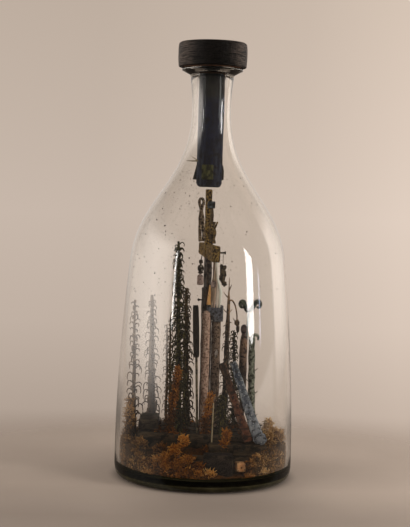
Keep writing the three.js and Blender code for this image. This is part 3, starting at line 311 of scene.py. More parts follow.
# Bottle
# A clear old bottle blown in a mould: thick foot pushed up in the middle, tall body that narrows
# slightly, long shoulder and a short neck with a rounded lip. The glass is a little green and wavy.
MM = 0.001
BODY_RADIUS = 65.7
WAIST_RADIUS = 57.4
NECK_RADIUS = 14.2
BORE_RADIUS = 10.5
LIP_RADIUS = 21.5
LIP_TOP = 301.2
LIP_ROUND = 1.1
MOUTH_ROUND = 2.8
FOOT_FLAT = 60.0
HEEL_TOP = 10.0
FLOOR_ROUND = 4.0
FLOOR_CURVE = 12
WAIST_HEIGHT = 160
NECK_HEIGHT = 271
WAVY_FROM = 14
WAVY_TO = 250
BODY_WALL = 3.0
NECK_WALL = 3.7
GLASS_TURNS = 144


def bend(points, count):
    """Points along a curve drawn with one or two handles, without its first point."""
    out = []
    for i in range(1, count + 1):
        t = i / count
        level_points = [Vector(p) for p in points]
        while len(level_points) > 1:
            level_points = [a.lerp(b, t) for a, b in zip(level_points, level_points[1:])]
        out.append((level_points[0].x, level_points[0].y))
    return out


def skin(rings):
    """Faces over rings of points that follow each other; a ring of several points closes an end."""
    faces = []
    for low, high in zip(rings, rings[1:]):
        turns = max(len(low), len(high))
        for k in range(turns):
            n = (k + 1) % turns
            if len(low) == 1:
                faces.append((low[0], high[n], high[k]))
            elif len(high) == 1:
                faces.append((low[k], low[n], high[0]))
            else:
                faces.append((low[k], low[n], high[n], high[k]))
    if len(rings[0]) > 1:
        faces.append(tuple(reversed(rings[0])))
    if len(rings[-1]) > 1:
        faces.append(tuple(rings[-1]))
    return faces


def make(name, shapes, material, body="bottle", node=""):
    """One named piece from its shapes in millimetres, dressed and set on its body. It stands for the solid
    of its own name unless another node is given, or for none where the node is None."""
    points, faces, tones = [], [], []
    for shape in shapes:
        start = len(points)
        points += [(p[0] * MM, p[1] * MM, p[2] * MM) for p in shape[0]]
        faces += [tuple(start + i for i in face) for face in shape[1]]
        tones += shape[2]
    mesh = bpy.data.meshes.new(name)
    mesh.from_pydata(points, [], faces)
    mesh.attributes.new("tone", "FLOAT", "POINT").data.foreach_set("value", tones)
    mesh.shade_smooth()
    mesh.materials.append(material)
    made = bpy.data.objects.new(name, mesh)
    scene.collection.objects.link(made)
    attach(made, body)
    if node is not None:
        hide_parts(node or name)
    return made


def corner_round(middle_radius, middle_height, size, first, last, steps):
    """Points round a corner of that size, between two angles from the radius upwards, without the first."""
    turns = [math.radians(first + (last - first) * i / steps) for i in range(1, steps + 1)]
    return [(middle_radius + size * math.cos(a), middle_height + size * math.sin(a)) for a in turns]


def bottle_side(inset_body, inset_neck, low):
    """One side of the bottle from low on the body up to the flare under the lip."""
    body = BODY_RADIUS - inset_body
    waist = WAIST_RADIUS - inset_body
    neck = NECK_RADIUS - inset_neck
    shoulder = NECK_HEIGHT - WAIST_HEIGHT
    side = [(body, low)]
    side += bend([(body, low), (body, (low + WAIST_HEIGHT) / 2), (waist, WAIST_HEIGHT)], 26)
    side += bend([(waist, WAIST_HEIGHT), (0.91 * waist, WAIST_HEIGHT + 0.42 * shoulder),
                  (neck, NECK_HEIGHT - 0.48 * shoulder), (neck, NECK_HEIGHT)], 70)
    return side


def inside_radius(z):
    """How far the glass stands from the axis on the inside at that height."""
    for (r0, z0), (r1, z1) in zip(inner_side, inner_side[1:]):
        if z0 <= z <= z1:
            return r0 + (r1 - r0) * (z - z0) / (z1 - z0)
    return inner_side[0][0] if z < inner_side[0][1] else inner_side[-1][0]


inner_side = bottle_side(BODY_WALL, NECK_WALL, FLOOR_CURVE)
outline = [(0.0, 5.2), (20.0, 5.0), (36.0, 4.5), (43.0, 3.6), (47.0, 1.4), (49.0, 0.35), (51.0, 0.0)]
outline += [(FOOT_FLAT, 0.0)]
outline += bend([(FOOT_FLAT, 0), (BODY_RADIUS, 0), (BODY_RADIUS, HEEL_TOP)], 14)
outline += bottle_side(0.0, 0.0, HEEL_TOP)[1:]
outline += bend([(NECK_RADIUS, NECK_HEIGHT), (NECK_RADIUS, 283.6), (16.2, 296.2)], 12)
outline += bend([(16.2, 296.2), (19.4, 297.9), (LIP_RADIUS, LIP_TOP - 2 * LIP_ROUND)], 6)
outline += corner_round(LIP_RADIUS, LIP_TOP - LIP_ROUND, LIP_ROUND, -90, 90, 10)
outline += [(BORE_RADIUS + MOUTH_ROUND, LIP_TOP)]
outline += corner_round(BORE_RADIUS + MOUTH_ROUND, LIP_TOP - MOUTH_ROUND, MOUTH_ROUND, 90, 180, 8)
outline += [(BORE_RADIUS, 290.0), (BORE_RADIUS, 280.0)]
outline += list(reversed(inner_side))
outline += corner_round(BODY_RADIUS - BODY_WALL - FLOOR_ROUND, FLOOR_CURVE, FLOOR_ROUND, 0, -90, 8)
outline += [(48.0, 8.0), (36.0, 8.1), (20.0, 8.2), (0.0, 8.2)]

glass_points, glass_rings = [], []
for step, (radius, z) in enumerate(outline):
    inside = step > len(outline) // 2
    ring = []
    for k in range(GLASS_TURNS if radius else 1):
        angle = 2 * math.pi * k / GLASS_TURNS
        wave = 0.0
        if inside and WAVY_FROM < z < WAVY_TO:
            swell = min(1.0, (z - WAVY_FROM) / 20, (WAVY_TO - z) / 40)
            wave = 0.16 * swell * noise.noise(Vector((1.3 * math.cos(angle), 1.3 * math.sin(angle), z / 48)))
        ring.append(len(glass_points))
        glass_points.append(((radius - wave) * math.cos(angle), (radius - wave) * math.sin(angle), z))
    glass_rings.append(ring)
old_glass, glass_tree, glass_face, glass_place = new_paint("old_clear_glass")
settle(glass_face, {
    "Base Color": (0.988, 0.982, 0.972, 1), "Transmission Weight": 1.0, "Roughness": 0.0, "IOR": 1.5,
})
emboss(glass_tree, glass_face, cloud(glass_tree, glass_place, 60.0, 1.0), 0.05, 0.0006)
glass_green = add_node(glass_tree, "VolumeAbsorption", {"Color": (0.56, 0.6, 0.4, 1), "Density": 9.0})
glass_tree.links.new(glass_green.outputs[0], glass_tree.nodes["Material Output"].inputs["Volume"])
glass_shape = (glass_points, skin(glass_rings), [0.0] * len(glass_points))
bottle = make("bottle", [glass_shape], old_glass, node="bottle_glass")
bottle.visible_shadow = False

# Raft slats
# Five bearers lie across the floor of the bottle and three deck slats lie on them. Each is split
# from dark old wood, squared with a knife and narrow enough to pass the neck.
DECK_HOLE = 26.6
BEARER_HOLE = 13.3
BEARER_MIDDLE = 14.8
DECK_MIDDLE = 28.1
SLAT_WIDTH = 16
SLAT_DEPTH = 13


def squared(start, end, across, width, depth, corner=0.8, wobble=0.15, seed=0, tip=1.0, step=2.5, facets=3):
    """A bar squared with a knife between two points: rounded edges, uneven faces, worn corners."""
    start = Vector(start)
    end = Vector(end)
    along = (end - start).normalized()
    length = (end - start).length
    across = (Vector(across) - along * Vector(across).dot(along)).normalized()
    through = along.cross(across)
    a = width / 2
    b = depth / 2
    corner = min(corner, 0.9 * a, 0.9 * b)
    section = []
    for turn, (sx, sy) in enumerate(((1, 1), (-1, 1), (-1, -1), (1, -1))):
        for i in range(facets + 1):
            angle = math.radians(90 * (turn + i / facets))
            section.append((sx * (a - corner) + corner * math.cos(angle),
                            sy * (b - corner) + corner * math.sin(angle), 1.0))
        nx, ny = ((-1, 1), (-1, -1), (1, -1), (1, 1))[turn]
        first = Vector(section[-1][:2])
        angle = math.radians(90 * (turn + 1))
        last = Vector((nx * (a - corner) + corner * math.cos(angle),
                       ny * (b - corner) + corner * math.sin(angle)))
        for share in (0.33, 0.67):
            middle = first.lerp(last, share)
            section.append((middle.x, middle.y, 0.0))
    rim = min(corner, length / 4)
    places = [(0.0, 1 - 0.8 * rim / max(a, b)), (0.3 * rim, 1 - 0.3 * rim / max(a, b))]
    count = max(2, int(length / step))
    places += [(rim + (length - 2 * rim) * i / count, 1.0) for i in range(count + 1)]
    places += [(length - 0.3 * rim, 1 - 0.3 * rim / max(a, b)), (length, 1 - 0.8 * rim / max(a, b))]
    points, tones = [], []
    shift = Vector((seed * 7.3, seed * 3.1, seed * 5.7))
    for place, scale in places:
        middle = start + along * place
        narrow = scale * (1 + (tip - 1) * place / length)
        for u, v, tone in section:
            p = middle + across * (u * narrow) + through * (v * narrow)
            out = (across * u + through * v).normalized()
            uneven = noise.noise(p * 0.11 + shift) + 0.45 * noise.noise(p * 0.45 + shift)
            points.append(p + out * (wobble * uneven))
            tones.append(max(tone, 1.0 if scale < 1 else 0.0))
    ring = len(section)
    rings = [list(range(i * ring, (i + 1) * ring)) for i in range(len(places))]
    return points, skin(rings), tones


def streaked(tree, place, grain, detail, rough=0.5):
    """Noise drawn out into a grain, with its own number of waves to the metre along each axis."""
    return cloud(tree, vectors(tree, "MULTIPLY", place, grain)["Vector"], 1.0, detail, rough)


def wear_and_light_tone(tree):
    """The tone that the maker gave each point of a piece: 1 on a worn edge, and on the cap, the linen and the
    moss the place of painted light and shade.
    """
    return add_node(tree, "Attribute", attribute_name="tone").outputs["Fac"]


def between(tree, share, first, second):
    """A value between two others."""
    return add_node(tree, "Mix", {0: share, 2: first, 3: second}).outputs[0]


def finish(name, tones, patch=170.0, grain=(700.0, 700.0, 110.0), share=0.5, rough=(0.55, 0.85),
           relief=0.00015, flecks=None, wear_and_highlight=None, grime=None, heights=None, gloss=0.2, spread=(0.36, 0.64)):
    """Paint or bare wood: patches and grain in several tones, grime, flecks, worn edges that on the cap are a
    painted highlight, relief and gloss.
    """
    material, tree, face, place = new_paint(name)
    patches = cloud(tree, place, patch, 4.0, 0.62)
    streaks = streaked(tree, place, grain, 4.0, 0.65)
    both = between(tree, share, patches, streaks)
    low, high = spread
    last = max(1, len(tones) - 1)
    colour = add_ramp(tree, both, [
        (low + (high - low) * i / last, paint(*tone)) for i, tone in enumerate(tones)
    ])
    if heights:
        foot, top = heights[0][0], heights[-1][0]
        shade = add_ramp(tree, ranged(tree, axes_of(tree, place)["Z"], foot * MM, top * MM), [
            ((z - foot) / (top - foot), paint(*tint)) for z, tint in heights
        ])
        colour = blend(tree, 1.0, colour, shade, "MULTIPLY")
    if flecks:
        fleck_colour, fleck_scale, fleck_size = flecks
        dots = add_node(tree, "TexVoronoi", {"Vector": place, "Scale": fleck_scale}).outputs["Distance"]
        spot = ranged(tree, dots, fleck_size, fleck_size + 0.14, 0.9, 0.0)
        colour = blend(tree, spot, colour, paint(*fleck_colour))
    # Where a piece's tones mark it, the worn colour goes on: real wear on edges, and a painted highlight on
    # the cap's sides.
    if wear_and_highlight:
        wear_and_highlight_mask = ranged(tree, streaks, 0.4, 0.62, 0.0, 0.85)
        colour = blend(tree, calc(tree, "MULTIPLY", wear_and_light_tone(tree), wear_and_highlight_mask), colour, paint(*wear_and_highlight))
    if grime:
        grime_colour, grime_scale, grime_share = grime
        dirt = cloud(tree, place, grime_scale, 3.0, 0.6)
        clean = 0.62 - 0.25 * grime_share
        colour = blend(tree, ranged(tree, dirt, clean, clean + 0.06, 0.0, 0.92), colour, paint(*grime_colour))
    tree.links.new(colour, face.inputs["Base Color"])
    tree.links.new(ranged(tree, both, 0.3, 0.7, rough[1], rough[0]), face.inputs["Roughness"])
    emboss(tree, face, both, 0.7, relief)
    settle(face, {"Specular IOR Level": gloss})
    return material


slat_wood = finish("old_slat_wood", [(16, 14, 11), (36, 30, 22), (58, 47, 33), (42, 38, 32)],
                   grain=(120, 700, 700), wear_and_highlight=(82, 66, 48), grime=((13, 11, 8), 160, 0.36), relief=0.0004)
for number, x in enumerate((-48, -24, 0, 24, 48)):
    low = {48: -14.4, 24: -38.0, 0: -38.0}[abs(x)]
    high = {48: 14.4, 24: 48.2, 0: 57.3}[abs(x)]
    make(f"bearer_{number + 1}", [
        squared((x, low, BEARER_MIDDLE), (x, high, BEARER_MIDDLE), (1, 0, 0), SLAT_WIDTH, SLAT_DEPTH,
                1.2, 0.4, number),
    ], slat_wood, node=f"bearer_slat_{number + 1}")
for number, y in enumerate((-17, 0, 17)):
    make(f"deck_{number + 1}", [
        squared((-48, y, DECK_MIDDLE), (44, y, DECK_MIDDLE), (0, 1, 0), SLAT_WIDTH, SLAT_DEPTH,
                1.6, 0.7, number + 6),
    ], slat_wood, node=f"deck_slat_{number + 1}")

# Sill, plank and front block
# Short offcuts laid on the raft: the sill carries the ladder's feet, the plank lies on the deck at
# the left, and a blue-black block lies in the moss at the front.
make("sill", [squared((4, -31, 25.6), (45, -31, 25.6), (0, 1, 0), 11.4, 8, 1.4, 0.6, 11)],
     slat_wood)
plank_wood = finish("brown_offcut", [(46, 40, 33), (60, 52, 42), (76, 65, 51)], grain=(160, 90, 900),
                    wear_and_highlight=(92, 79, 63), grime=((36, 31, 26), 110, 0.2), relief=0.0002)
make("plank", [squared((-40.4, -14, 38.9), (-40.4, 14, 38.9), (1, 0, 0), 14, 8, 0.5, 0.25, 12)],
     plank_wood)
block_wood = finish("blue_black_block", [(8, 8, 10), (20, 19, 20), (40, 34, 30), (16, 16, 19)],
                    grain=(90, 520, 520), wear_and_highlight=(58, 48, 38), grime=((8, 7, 7), 260, 0.4), rough=(0.6, 0.85),
                    relief=0.0006, gloss=0.12)
make("front_block", [squared((0.6, -47, 16.8), (21, -47, 16.8), (0, 1, 0), 12, 17, 1.1, 0.4, 13)],
     block_wood)

# Cross post and beam
# The post stands in the raft and is thinner above the beam; the beam is halved into it and runs
# back into the bottle. Both are cut from branch wood and left with mottled, barky faces.
CROSS_TURN = math.radians(10.5)
cross_right = Vector((math.cos(CROSS_TURN), math.sin(CROSS_TURN), 0))
cross_deep = Vector((-math.sin(CROSS_TURN), math.cos(CROSS_TURN), 0))


def on_cross(x, y, z):
    """A point given on the cross: x to its right, y along its beam, z up."""
    return Vector((0.5, 0, z)) + cross_right * x + cross_deep * y


post_wood = finish("dark_bark_post", [(26, 22, 20), (48, 39, 33), (78, 61, 44), (52, 54, 60)], patch=300,
                   wear_and_highlight=(84, 80, 78), grime=((18, 15, 13), 420, 0.45), relief=0.0003)
beam_wood = finish("mottled_bark", [(42, 30, 14), (90, 68, 32), (148, 114, 54), (84, 64, 36)], patch=640,
                   grain=(700, 260, 700), wear_and_highlight=(128, 102, 54), grime=((24, 17, 10), 760, 0.56),
                   flecks=((156, 126, 70), 640.0, 0.12), relief=0.0005, spread=(0.38, 0.62))
make("cross_post", [
    squared(on_cross(-0.35, 0, 21.9), on_cross(-0.35, 0, 140), cross_right, 7.0, 6.5, 0.9, 0.3, 21),
    squared(on_cross(-0.2, 0, 138), on_cross(-0.2, 0, 164), cross_right, 5.2, 5.6, 0.9, 0.35, 20),
], post_wood)
make("cross_post_top", [
    squared(on_cross(-0.3, 0, 162), on_cross(-0.3, 0, 174.7), cross_right, 5.4, 5.6, 0.8, 0.3, 22),
    squared(on_cross(-0.6, 0, 172), on_cross(-0.9, 0, 212.4), cross_right, 4.6, 4.3, 0.8, 0.4, 23, step=1.6),
], beam_wood, node=None)
make("cross_beam", [
    squared(on_cross(0, -31, 165.9), on_cross(0, 31, 167.6), cross_right, 5.6, 11.6, 0.7, 0.4, 24, tip=0.74,
            step=1.8),
], beam_wood)


# Nails
# Small iron nails with hammered round heads: one through each end of the beam and one through the
# post, just above the foot rest.
def strand(path, radius, sides=6, flat=1.0, tone=0.5, lean=None):
    """A round or flattened strand along a line of points; its radius may change on the way."""
    points, tones = [], []
    count = len(path)
    side = lean
    for i, p in enumerate(path):
        forward = (path[min(i + 1, count - 1)] - path[max(i - 1, 0)]).normalized()
        if side is None:
            side = Vector((1, 0, 0)) if abs(forward.x) < 0.8 else Vector((0, 1, 0))
        side = (side - forward * side.dot(forward)).normalized()
        over = forward.cross(side)
        share = i / (count - 1)
        r = radius(share) if callable(radius) else radius
        for k in range(sides):
            angle = 2 * math.pi * k / sides
            points.append(p + side * (r * math.cos(angle)) + over * (r * flat * math.sin(angle)))
            tones.append(tone(share) if callable(tone) else tone)
    rings = [list(range(i * sides, (i + 1) * sides)) for i in range(count)]
    return points, skin(rings), tones


def stepped(points, radii, sides=14, tone=0.5):
    """A turned or hammered pin: a ring of its own radius at each point of a line."""
    line = [Vector(p) for p in points]
    last = len(line) - 1
    return strand(line, lambda share: radii[round(share * last)], sides, tone=tone)


def nail(head, point, shank, head_radius):
    """A nail from its head to its point."""
    head = Vector(head)
    point = Vector(point)
    shares = (0, 0.02, 0.06, 0.1, 0.12, 0.13, 0.5, 0.85, 1.0)
    radii = (0.35 * head_radius, 0.8 * head_radius, head_radius, 0.92 * head_radius, 0.7 * head_radius,
             shank, shank, 0.9 * shank, 0.25 * shank)
    return stepped([head.lerp(point, s) for s in shares], radii)


nail_iron = finish("old_iron", [(18, 15, 13), (34, 27, 22), (58, 43, 32)], patch=900, rough=(0.45, 0.75),
                   gloss=0.5, relief=0.00008)
settle(nail_iron.node_tree.nodes["Principled BSDF"], {"Metallic": 0.4})
HAND_NAIL_OUT = 28.3
HAND_NAIL_HEIGHT = 166.95
for name, out, shank, head_radius in (
    ("hand_nail_near", -HAND_NAIL_OUT, 0.6, 1.25), ("hand_nail_far", HAND_NAIL_OUT, 0.55, 1.2),
):
    head = on_cross(7.35, out, HAND_NAIL_HEIGHT)
    make(name, [nail(head, head - cross_right * 8.45, shank, head_radius)], nail_iron)
make("foot_nail", [nail(on_cross(-7.25, 0, 130.8), on_cross(4.7, 0, 130.8), 0.55, 1.1)],
     nail_iron)


# Foot rest and wedge
# A slate-blue painted bracket let into the post, cut away slantwise underneath, and above it a pale
# raw wedge driven into the front.
def plate(outline, near, far, place, soft=0.6, wobble=0.12, seed=0):
    """A flat piece sawn to an outline of x and z, between two depths, with its edges eased."""
    form = bmesh.new()
    front = [form.verts.new(place(x, near, z)) for x, z in outline]
    back = [form.verts.new(place(x, far, z)) for x, z in outline]
    form.faces.new(front)
    form.faces.new(list(reversed(back)))
    for i in range(len(outline)):
        n = (i + 1) % len(outline)
        form.faces.new((front[n], front[i], back[i], back[n]))
    bmesh.ops.recalc_face_normals(form, faces=form.faces)
    bmesh.ops.bevel(form, geom=form.edges[:] + form.verts[:], offset=soft, segments=2, affect="EDGES",
                    profile=0.6)
    form.verts.index_update()
    edge_count = len(form.verts)
    wide = [face for face in form.faces if face.calc_area() > 4 * soft * soft]
    bmesh.ops.inset_individual(form, faces=wide, thickness=0.9 * soft)
    bmesh.ops.triangulate(form, faces=[face for face in form.faces if len(face.verts) > 4])
    form.verts.index_update()
    shift = Vector((seed * 3.7, seed * 6.1, seed * 1.9))
    points = [v.co + Vector((1, 1, 1)) * (wobble * noise.noise(v.co * 0.35 + shift)) for v in form.verts]
    faces = [tuple(v.index for v in face.verts) for face in form.faces]
    tones = [1.0 if i < edge_count else 0.0 for i in range(len(points))]
    form.free()
    return points, faces, tones


slate_paint = finish("slate_paint", [(42, 43, 46), (66, 67, 72), (92, 92, 98), (58, 56, 56)], patch=260,
                     wear_and_highlight=(112, 108, 104), grime=((22, 20, 19), 420, 0.4), rough=(0.5, 0.8), relief=0.0002)
make("foot_rest", [
    plate([(-1, 127.3), (11.3, 127.3), (11.3, 115.3), (4.2, 115.3), (3.2, 119.4), (-1, 121.6)], -6.5, 6.5,
          on_cross, 0.9, 0.3, 31),
], slate_paint)
raw_wood = finish("raw_pale_wood", [(176, 124, 70), (208, 154, 94), (224, 178, 122)], grain=(700, 700, 90),
                  wear_and_highlight=(228, 188, 138), grime=((132, 90, 52), 260, 0.18))
make("wedge", [
    plate([(-1.2, 127.6), (2.0, 127.6), (2.1, 130.4), (1.3, 142.1), (0.7, 142.2)], -5.7, -3.5, on_cross,
          0.22, 0.08, 32),
], raw_wood)


# Pillar
# A round post under the foot rest, shaded from near black to beige and speckled, with a pale lozenge
# scratched through the paint on its front.
def turned(profile, foot, segments=36, wobble=0.0, seed=0, tone=0.3):
    """A piece turned to a profile of radii and heights over a foot point, not quite round."""
    points, tones, rings = [], [], []
    shift = Vector((seed * 5.1, seed * 2.3, seed * 3.7))
    foot = Vector(foot)
    for radius, z in profile:
        ring = []
        for k in range(segments if radius else 1):
            angle = 2 * math.pi * k / segments
            out = Vector((math.cos(angle), math.sin(angle), 0))
            p = foot + out * radius + Vector((0, 0, z))
            uneven = wobble * (noise.noise(p * 0.2 + shift) + 0.5 * noise.noise(p * 0.8 + shift))
            uneven = uneven if radius else 0.0
            ring.append(len(points))
            points.append(p + out * uneven)
            tones.append(tone(z) if callable(tone) else tone)
        rings.append(ring)
    return points, skin(rings), tones


def smooth_line(knots, steps=5):
    """A smooth line through some knots."""
    knots = [Vector(k) for k in knots]
    out = [knots[0]]
    for i in range(len(knots) - 1):
        a, b, c, d = knots[max(i - 1, 0)], knots[i], knots[i + 1], knots[min(i + 2, len(knots) - 1)]
        for s in range(1, steps + 1):
            t = s / steps
            bend_two = 2 * a - 5 * b + 4 * c - d
            bend_three = 3 * b - a - 3 * c + d
            out.append(0.5 * (2 * b + (c - a) * t + bend_two * t * t + bend_three * t ** 3))
    return out


def rounded(profile, steps=5):
    """A turned profile with its corners drawn out into smooth curves."""
    line = [(max(p.x, 0.0), p.y) for p in smooth_line(profile, steps)]
    for i, knot in enumerate(profile):
        line[i * steps] = knot
    return line


PILLAR_RADIUS = 3.4
PILLAR_TOP = 115
pillar_side = [(PILLAR_RADIUS, DECK_HOLE + (PILLAR_TOP - DECK_HOLE) * i / 40) for i in range(41)]
pillar_paint = finish("pillar_paint", [(48, 37, 29), (84, 65, 51), (124, 102, 84), (76, 56, 44)], patch=220,
                      flecks=((158, 138, 120), 560.0, 0.13), grime=((44, 34, 28), 520, 0.35), relief=0.0003)
make("pillar", [
    turned([(0, DECK_HOLE)] + pillar_side + [(0, PILLAR_TOP)], on_cross(7.2, 0, 0), 28, 0.3, 33),
], pillar_paint)
lozenge_paint = finish("lozenge_paint", [(118, 106, 98), (142, 132, 122), (158, 146, 132)], patch=600,
                       grime=((60, 50, 44), 700, 0.3))
make("pillar_lozenge", [
    plate([(7.0, 87.5), (8.4, 91.6), (7.3, 95.6), (5.8, 91.4)], -3.45, -2.6, on_cross, 0.2, 0.05, 34),
], lozenge_paint, node=None)

# Hammer, jug and pincers
# Small carved tools that stand on the beam, each on a peg: a hammer with a slate-blue head, a jug
# with a wavy rim and a spout, and a pair of iron pincers whose jaws close in a ring.
hammer_wood = finish("hammer_handle_wood", [(38, 29, 20), (72, 56, 38), (116, 98, 72)], patch=520,
                     grain=(900, 900, 70), grime=((18, 14, 11), 520, 0.5), relief=0.0002)
HAMMER_OUT = -9
make("hammer_handle", [
    strand([on_cross(0.15 * math.sin(i), HAMMER_OUT, 173 + 30.3 * i / 12) for i in range(13)],
           lambda s: 1.55 - 0.4 * s + 0.1 * math.sin(50 * s), 10),
], hammer_wood)
hammer_slate = finish("hammer_slate", [(20, 22, 24), (36, 40, 44), (66, 72, 76)], patch=330,
                      grain=(260, 260, 260), wear_and_highlight=(92, 98, 100), grime=((16, 14, 12), 360, 0.5),
                      rough=(0.5, 0.8), relief=0.0002)
make("hammer_head", [
    squared(on_cross(-3.1, HAMMER_OUT, 200.9), on_cross(2.1, HAMMER_OUT, 200.9), cross_deep, 3.6, 5.2, 0.6,
            0.2, 41, step=0.8),
], hammer_slate)

jug_paint = finish("jug_paint", [(36, 26, 16), (66, 49, 26), (104, 80, 44), (70, 38, 26)], patch=520,
                   wear_and_highlight=(134, 110, 66), grime=((22, 16, 11), 560, 0.45), relief=0.0004)
jug_profile = rounded([(0, 173), (2.0, 173), (2.2, 174.4), (1.7, 176.4), (2.3, 179.4), (2.35, 181.6),
                       (1.8, 184.2), (1.35, 185.6), (1.6, 187), (2.1, 188.6), (1.5, 188.4), (0.9, 186.8),
                       (0, 186.4)], 4)
JUG_OUT = -15.5
jug = turned(jug_profile, on_cross(0, JUG_OUT, 0), 30, 0.25, 42, lambda z: 0.8 if z > 184 else 0.3)
jug_spout = strand([on_cross(1.2 + 0.5 * i, JUG_OUT, 184.4 + 0.7 * i + 0.1 * i * i) for i in range(5)],
                   lambda s: 0.85 - 0.3 * s, 8, tone=1.0)
jug_ear = strand([on_cross(-1.6 - 1.0 * math.sin(a), JUG_OUT, 181.7 + 2.6 * math.cos(a))
                  for a in [math.pi * i / 10 for i in range(11)]], 0.42, 8)
make("jug", [jug, jug_spout, jug_ear], jug_paint)

PINCERS_OUT = 26.5


def pincer_arm(foot_x, side):
    """One arm of the pincers, from its foot over the pivot to its half of the ring."""
    arm = [(foot_x, 172.6), (foot_x - 0.2 + 0.3 * side, 178), (-1.1 + 1.3 * side, 184.5),
           (-1.4 + 1.1 * side, 190), (-1.6 + 0.4 * side, 195.2), (-1.6 - 0.5 * side, 198.2)]
    arm += [(-1.6 - 1.6 * side * math.sin(math.radians(a)), 202.6 - 2.9 * math.cos(math.radians(a)))
            for a in range(40, 181, 20)]
    return strand([on_cross(x, PINCERS_OUT + 0.3 * side, z) for x, z in smooth_line(arm, 4)],
                  lambda s: 1.38 - 0.38 * s + 0.12 * math.sin(60 * s), 8)


pincer_iron = finish("rusty_pincers", [(48, 37, 27), (100, 81, 61), (164, 142, 116)], patch=560,
                     rough=(0.5, 0.8), grime=((24, 18, 14), 620, 0.46), relief=0.0002, spread=(0.4, 0.6))
make("pincers", [
    pincer_arm(0.75, 1), pincer_arm(-1.75, -1),
    stepped([on_cross(-1.6, PINCERS_OUT + y, 196.6) for y in (-1.4, -1.2, -0.8, 0.8, 1.2, 1.4)],
            (0.3, 0.7, 0.9, 0.9, 0.7, 0.3)),
], pincer_iron)

# Lantern and purse
# Turned tokens that hang under the far end of the beam on a wire: a small dark lantern with rings
# and a pale pane, and below it a pale pinkish purse drawn together at its neck.
TOKENS_OUT = 27
lantern_paint = finish("lantern_paint", [(20, 17, 14), (40, 33, 26), (70, 60, 50)], patch=600,
                       flecks=((150, 140, 126), 360.0, 0.2), relief=0.0003)
lantern = turned(rounded([(0, 148.5), (1.6, 148.5), (2.2, 149.4), (1.6, 150.2), (2.3, 151.2), (2.45, 152.6),
                          (2.2, 154), (1.4, 154.9), (0.8, 155.4), (1.5, 156.4), (1.65, 157.4), (1.2, 158.5),
                          (0, 158.9)], 4),
                 on_cross(-0.6, TOKENS_OUT, 0), 26, 0.15, 43)
lantern_wire = strand([on_cross(-0.6 + 0.1 * i, TOKENS_OUT + 0.2 * math.sin(i), 158.2 + 0.62 * i)
                       for i in range(9)], 0.4, 7)
make("lantern", [lantern, lantern_wire], lantern_paint)
purse_paint = finish("purse_paint", [(104, 84, 76), (136, 114, 104), (164, 142, 130)], patch=420,
                     wear_and_highlight=(170, 150, 138), grime=((70, 54, 48), 420, 0.3), relief=0.0003)
purse = turned(rounded([(0, 139.9), (1.9, 139.9), (2.5, 140.8), (2.6, 143), (2.4, 145.4), (2.2, 146.8),
                        (1.6, 147.4), (0.9, 147.8), (0.8, 148.3), (0, 148.3)], 4),
               on_cross(-0.7, TOKENS_OUT, 0), 26, 0.3, 44)
make("purse", [purse], purse_paint)


# Linen slip
# A strip of linen carved in wood, in lengthwise folds side by side, painted in pale streaks of grey,
# olive and pink, with painted shade on the folds by the post and a painted highlight on the outer right fold;
# it hangs from the near end of the beam, knotted halfway, and swells towards the foot.
def ease(low, high, value):
    """0 below low, 1 above high, and a smooth step between them."""
    t = min(1.0, max(0.0, (value - low) / (high - low)))
    return t * t * (3 - 2 * t)


def lump(middle, radii, seed=0, wobble=0.15, rings=9, segments=14, tone=0.4):
    """A knobbly rounded lump, wider or narrower along each axis."""
    middle = Vector(middle)
    shift = Vector((seed * 4.3, seed * 2.9, seed * 6.1))
    points, lump_rings = [], []
    for i in range(rings + 1):
        up = math.pi * i / rings
        ring = []
        for k in range(1 if i in (0, rings) else segments):
            angle = 2 * math.pi * k / segments
            out = Vector((math.sin(up) * math.cos(angle), math.sin(up) * math.sin(angle), -math.cos(up)))
            uneven = 1 + wobble * (noise.noise(out * 1.6 + shift) + 0.5 * noise.noise(out * 4 + shift))
            ring.append(len(points))
            points.append(middle + Vector((out.x * radii[0], out.y * radii[1], out.z * radii[2])) * uneven)
        lump_rings.append(ring)
    return points, skin(lump_rings), [tone] * len(points)


LINEN_OUT = -22.6
LINEN_FOLDS = 4
LINEN_STEPS = 26
linen_shapes = []
for fold in range(LINEN_FOLDS):
    across = fold / (LINEN_FOLDS - 1)
    path_points = []
    for i in range(LINEN_STEPS + 1):
        share = i / LINEN_STEPS
        z = 160.9 - 33.8 * share
        reach_out = 2.2 + 3.2 * ease(0.25, 0.7, share) - 0.9 * max(0.0, share - 0.7) / 0.3
        inner = 0.3 - 0.9 * ease(0.3, 0.5, share)
        x = inner + (reach_out - inner) * across + 0.18 * math.sin(5 * share + fold)
        path_points.append(on_cross(x, LINEN_OUT + 0.3 * math.sin(7 * share + 2 * fold), z))
    # Each fold's tone is its place across the strip, which sets its painted shade and highlight.
    linen_shapes.append(strand(path_points, lambda s: 1.05 * min(1.0, 0.7 + 2 * s, 0.55 + 3 * (1 - s)), 12,
                               1.0, across, cross_right))
linen_paint, linen_tree, linen_face, linen_place = new_paint("streaked_linen_paint")
linen_streak = streaked(linen_tree, linen_place, (600, 600, 70), 5.0)
# Dark towards the folds by the post and nearly white on the outer right fold: painted shade and a painted
# highlight over the grey, olive and pink streaks.
linen_colour_and_light = add_ramp(linen_tree, between(linen_tree, 0.5, wear_and_light_tone(linen_tree), linen_streak), [
    (0.2, paint(92, 73, 60)), (0.33, paint(156, 136, 108)), (0.47, paint(174, 146, 126)),
    (0.62, paint(210, 200, 184)), (0.78, paint(222, 222, 206)),
])
linen_tree.links.new(linen_colour_and_light, linen_face.inputs["Base Color"])
settle(linen_face, {"Roughness": 0.75})
emboss(linen_tree, linen_face, linen_streak, 0.6, 0.0003)
make("linen_slip", linen_shapes, linen_paint)
linen_knot = lump(on_cross(-0.1, -24.0, 144.2), (1.9, 1.2, 2.6), 45, 0.25)
make("linen_knot", [linen_knot], purse_paint, node=None)

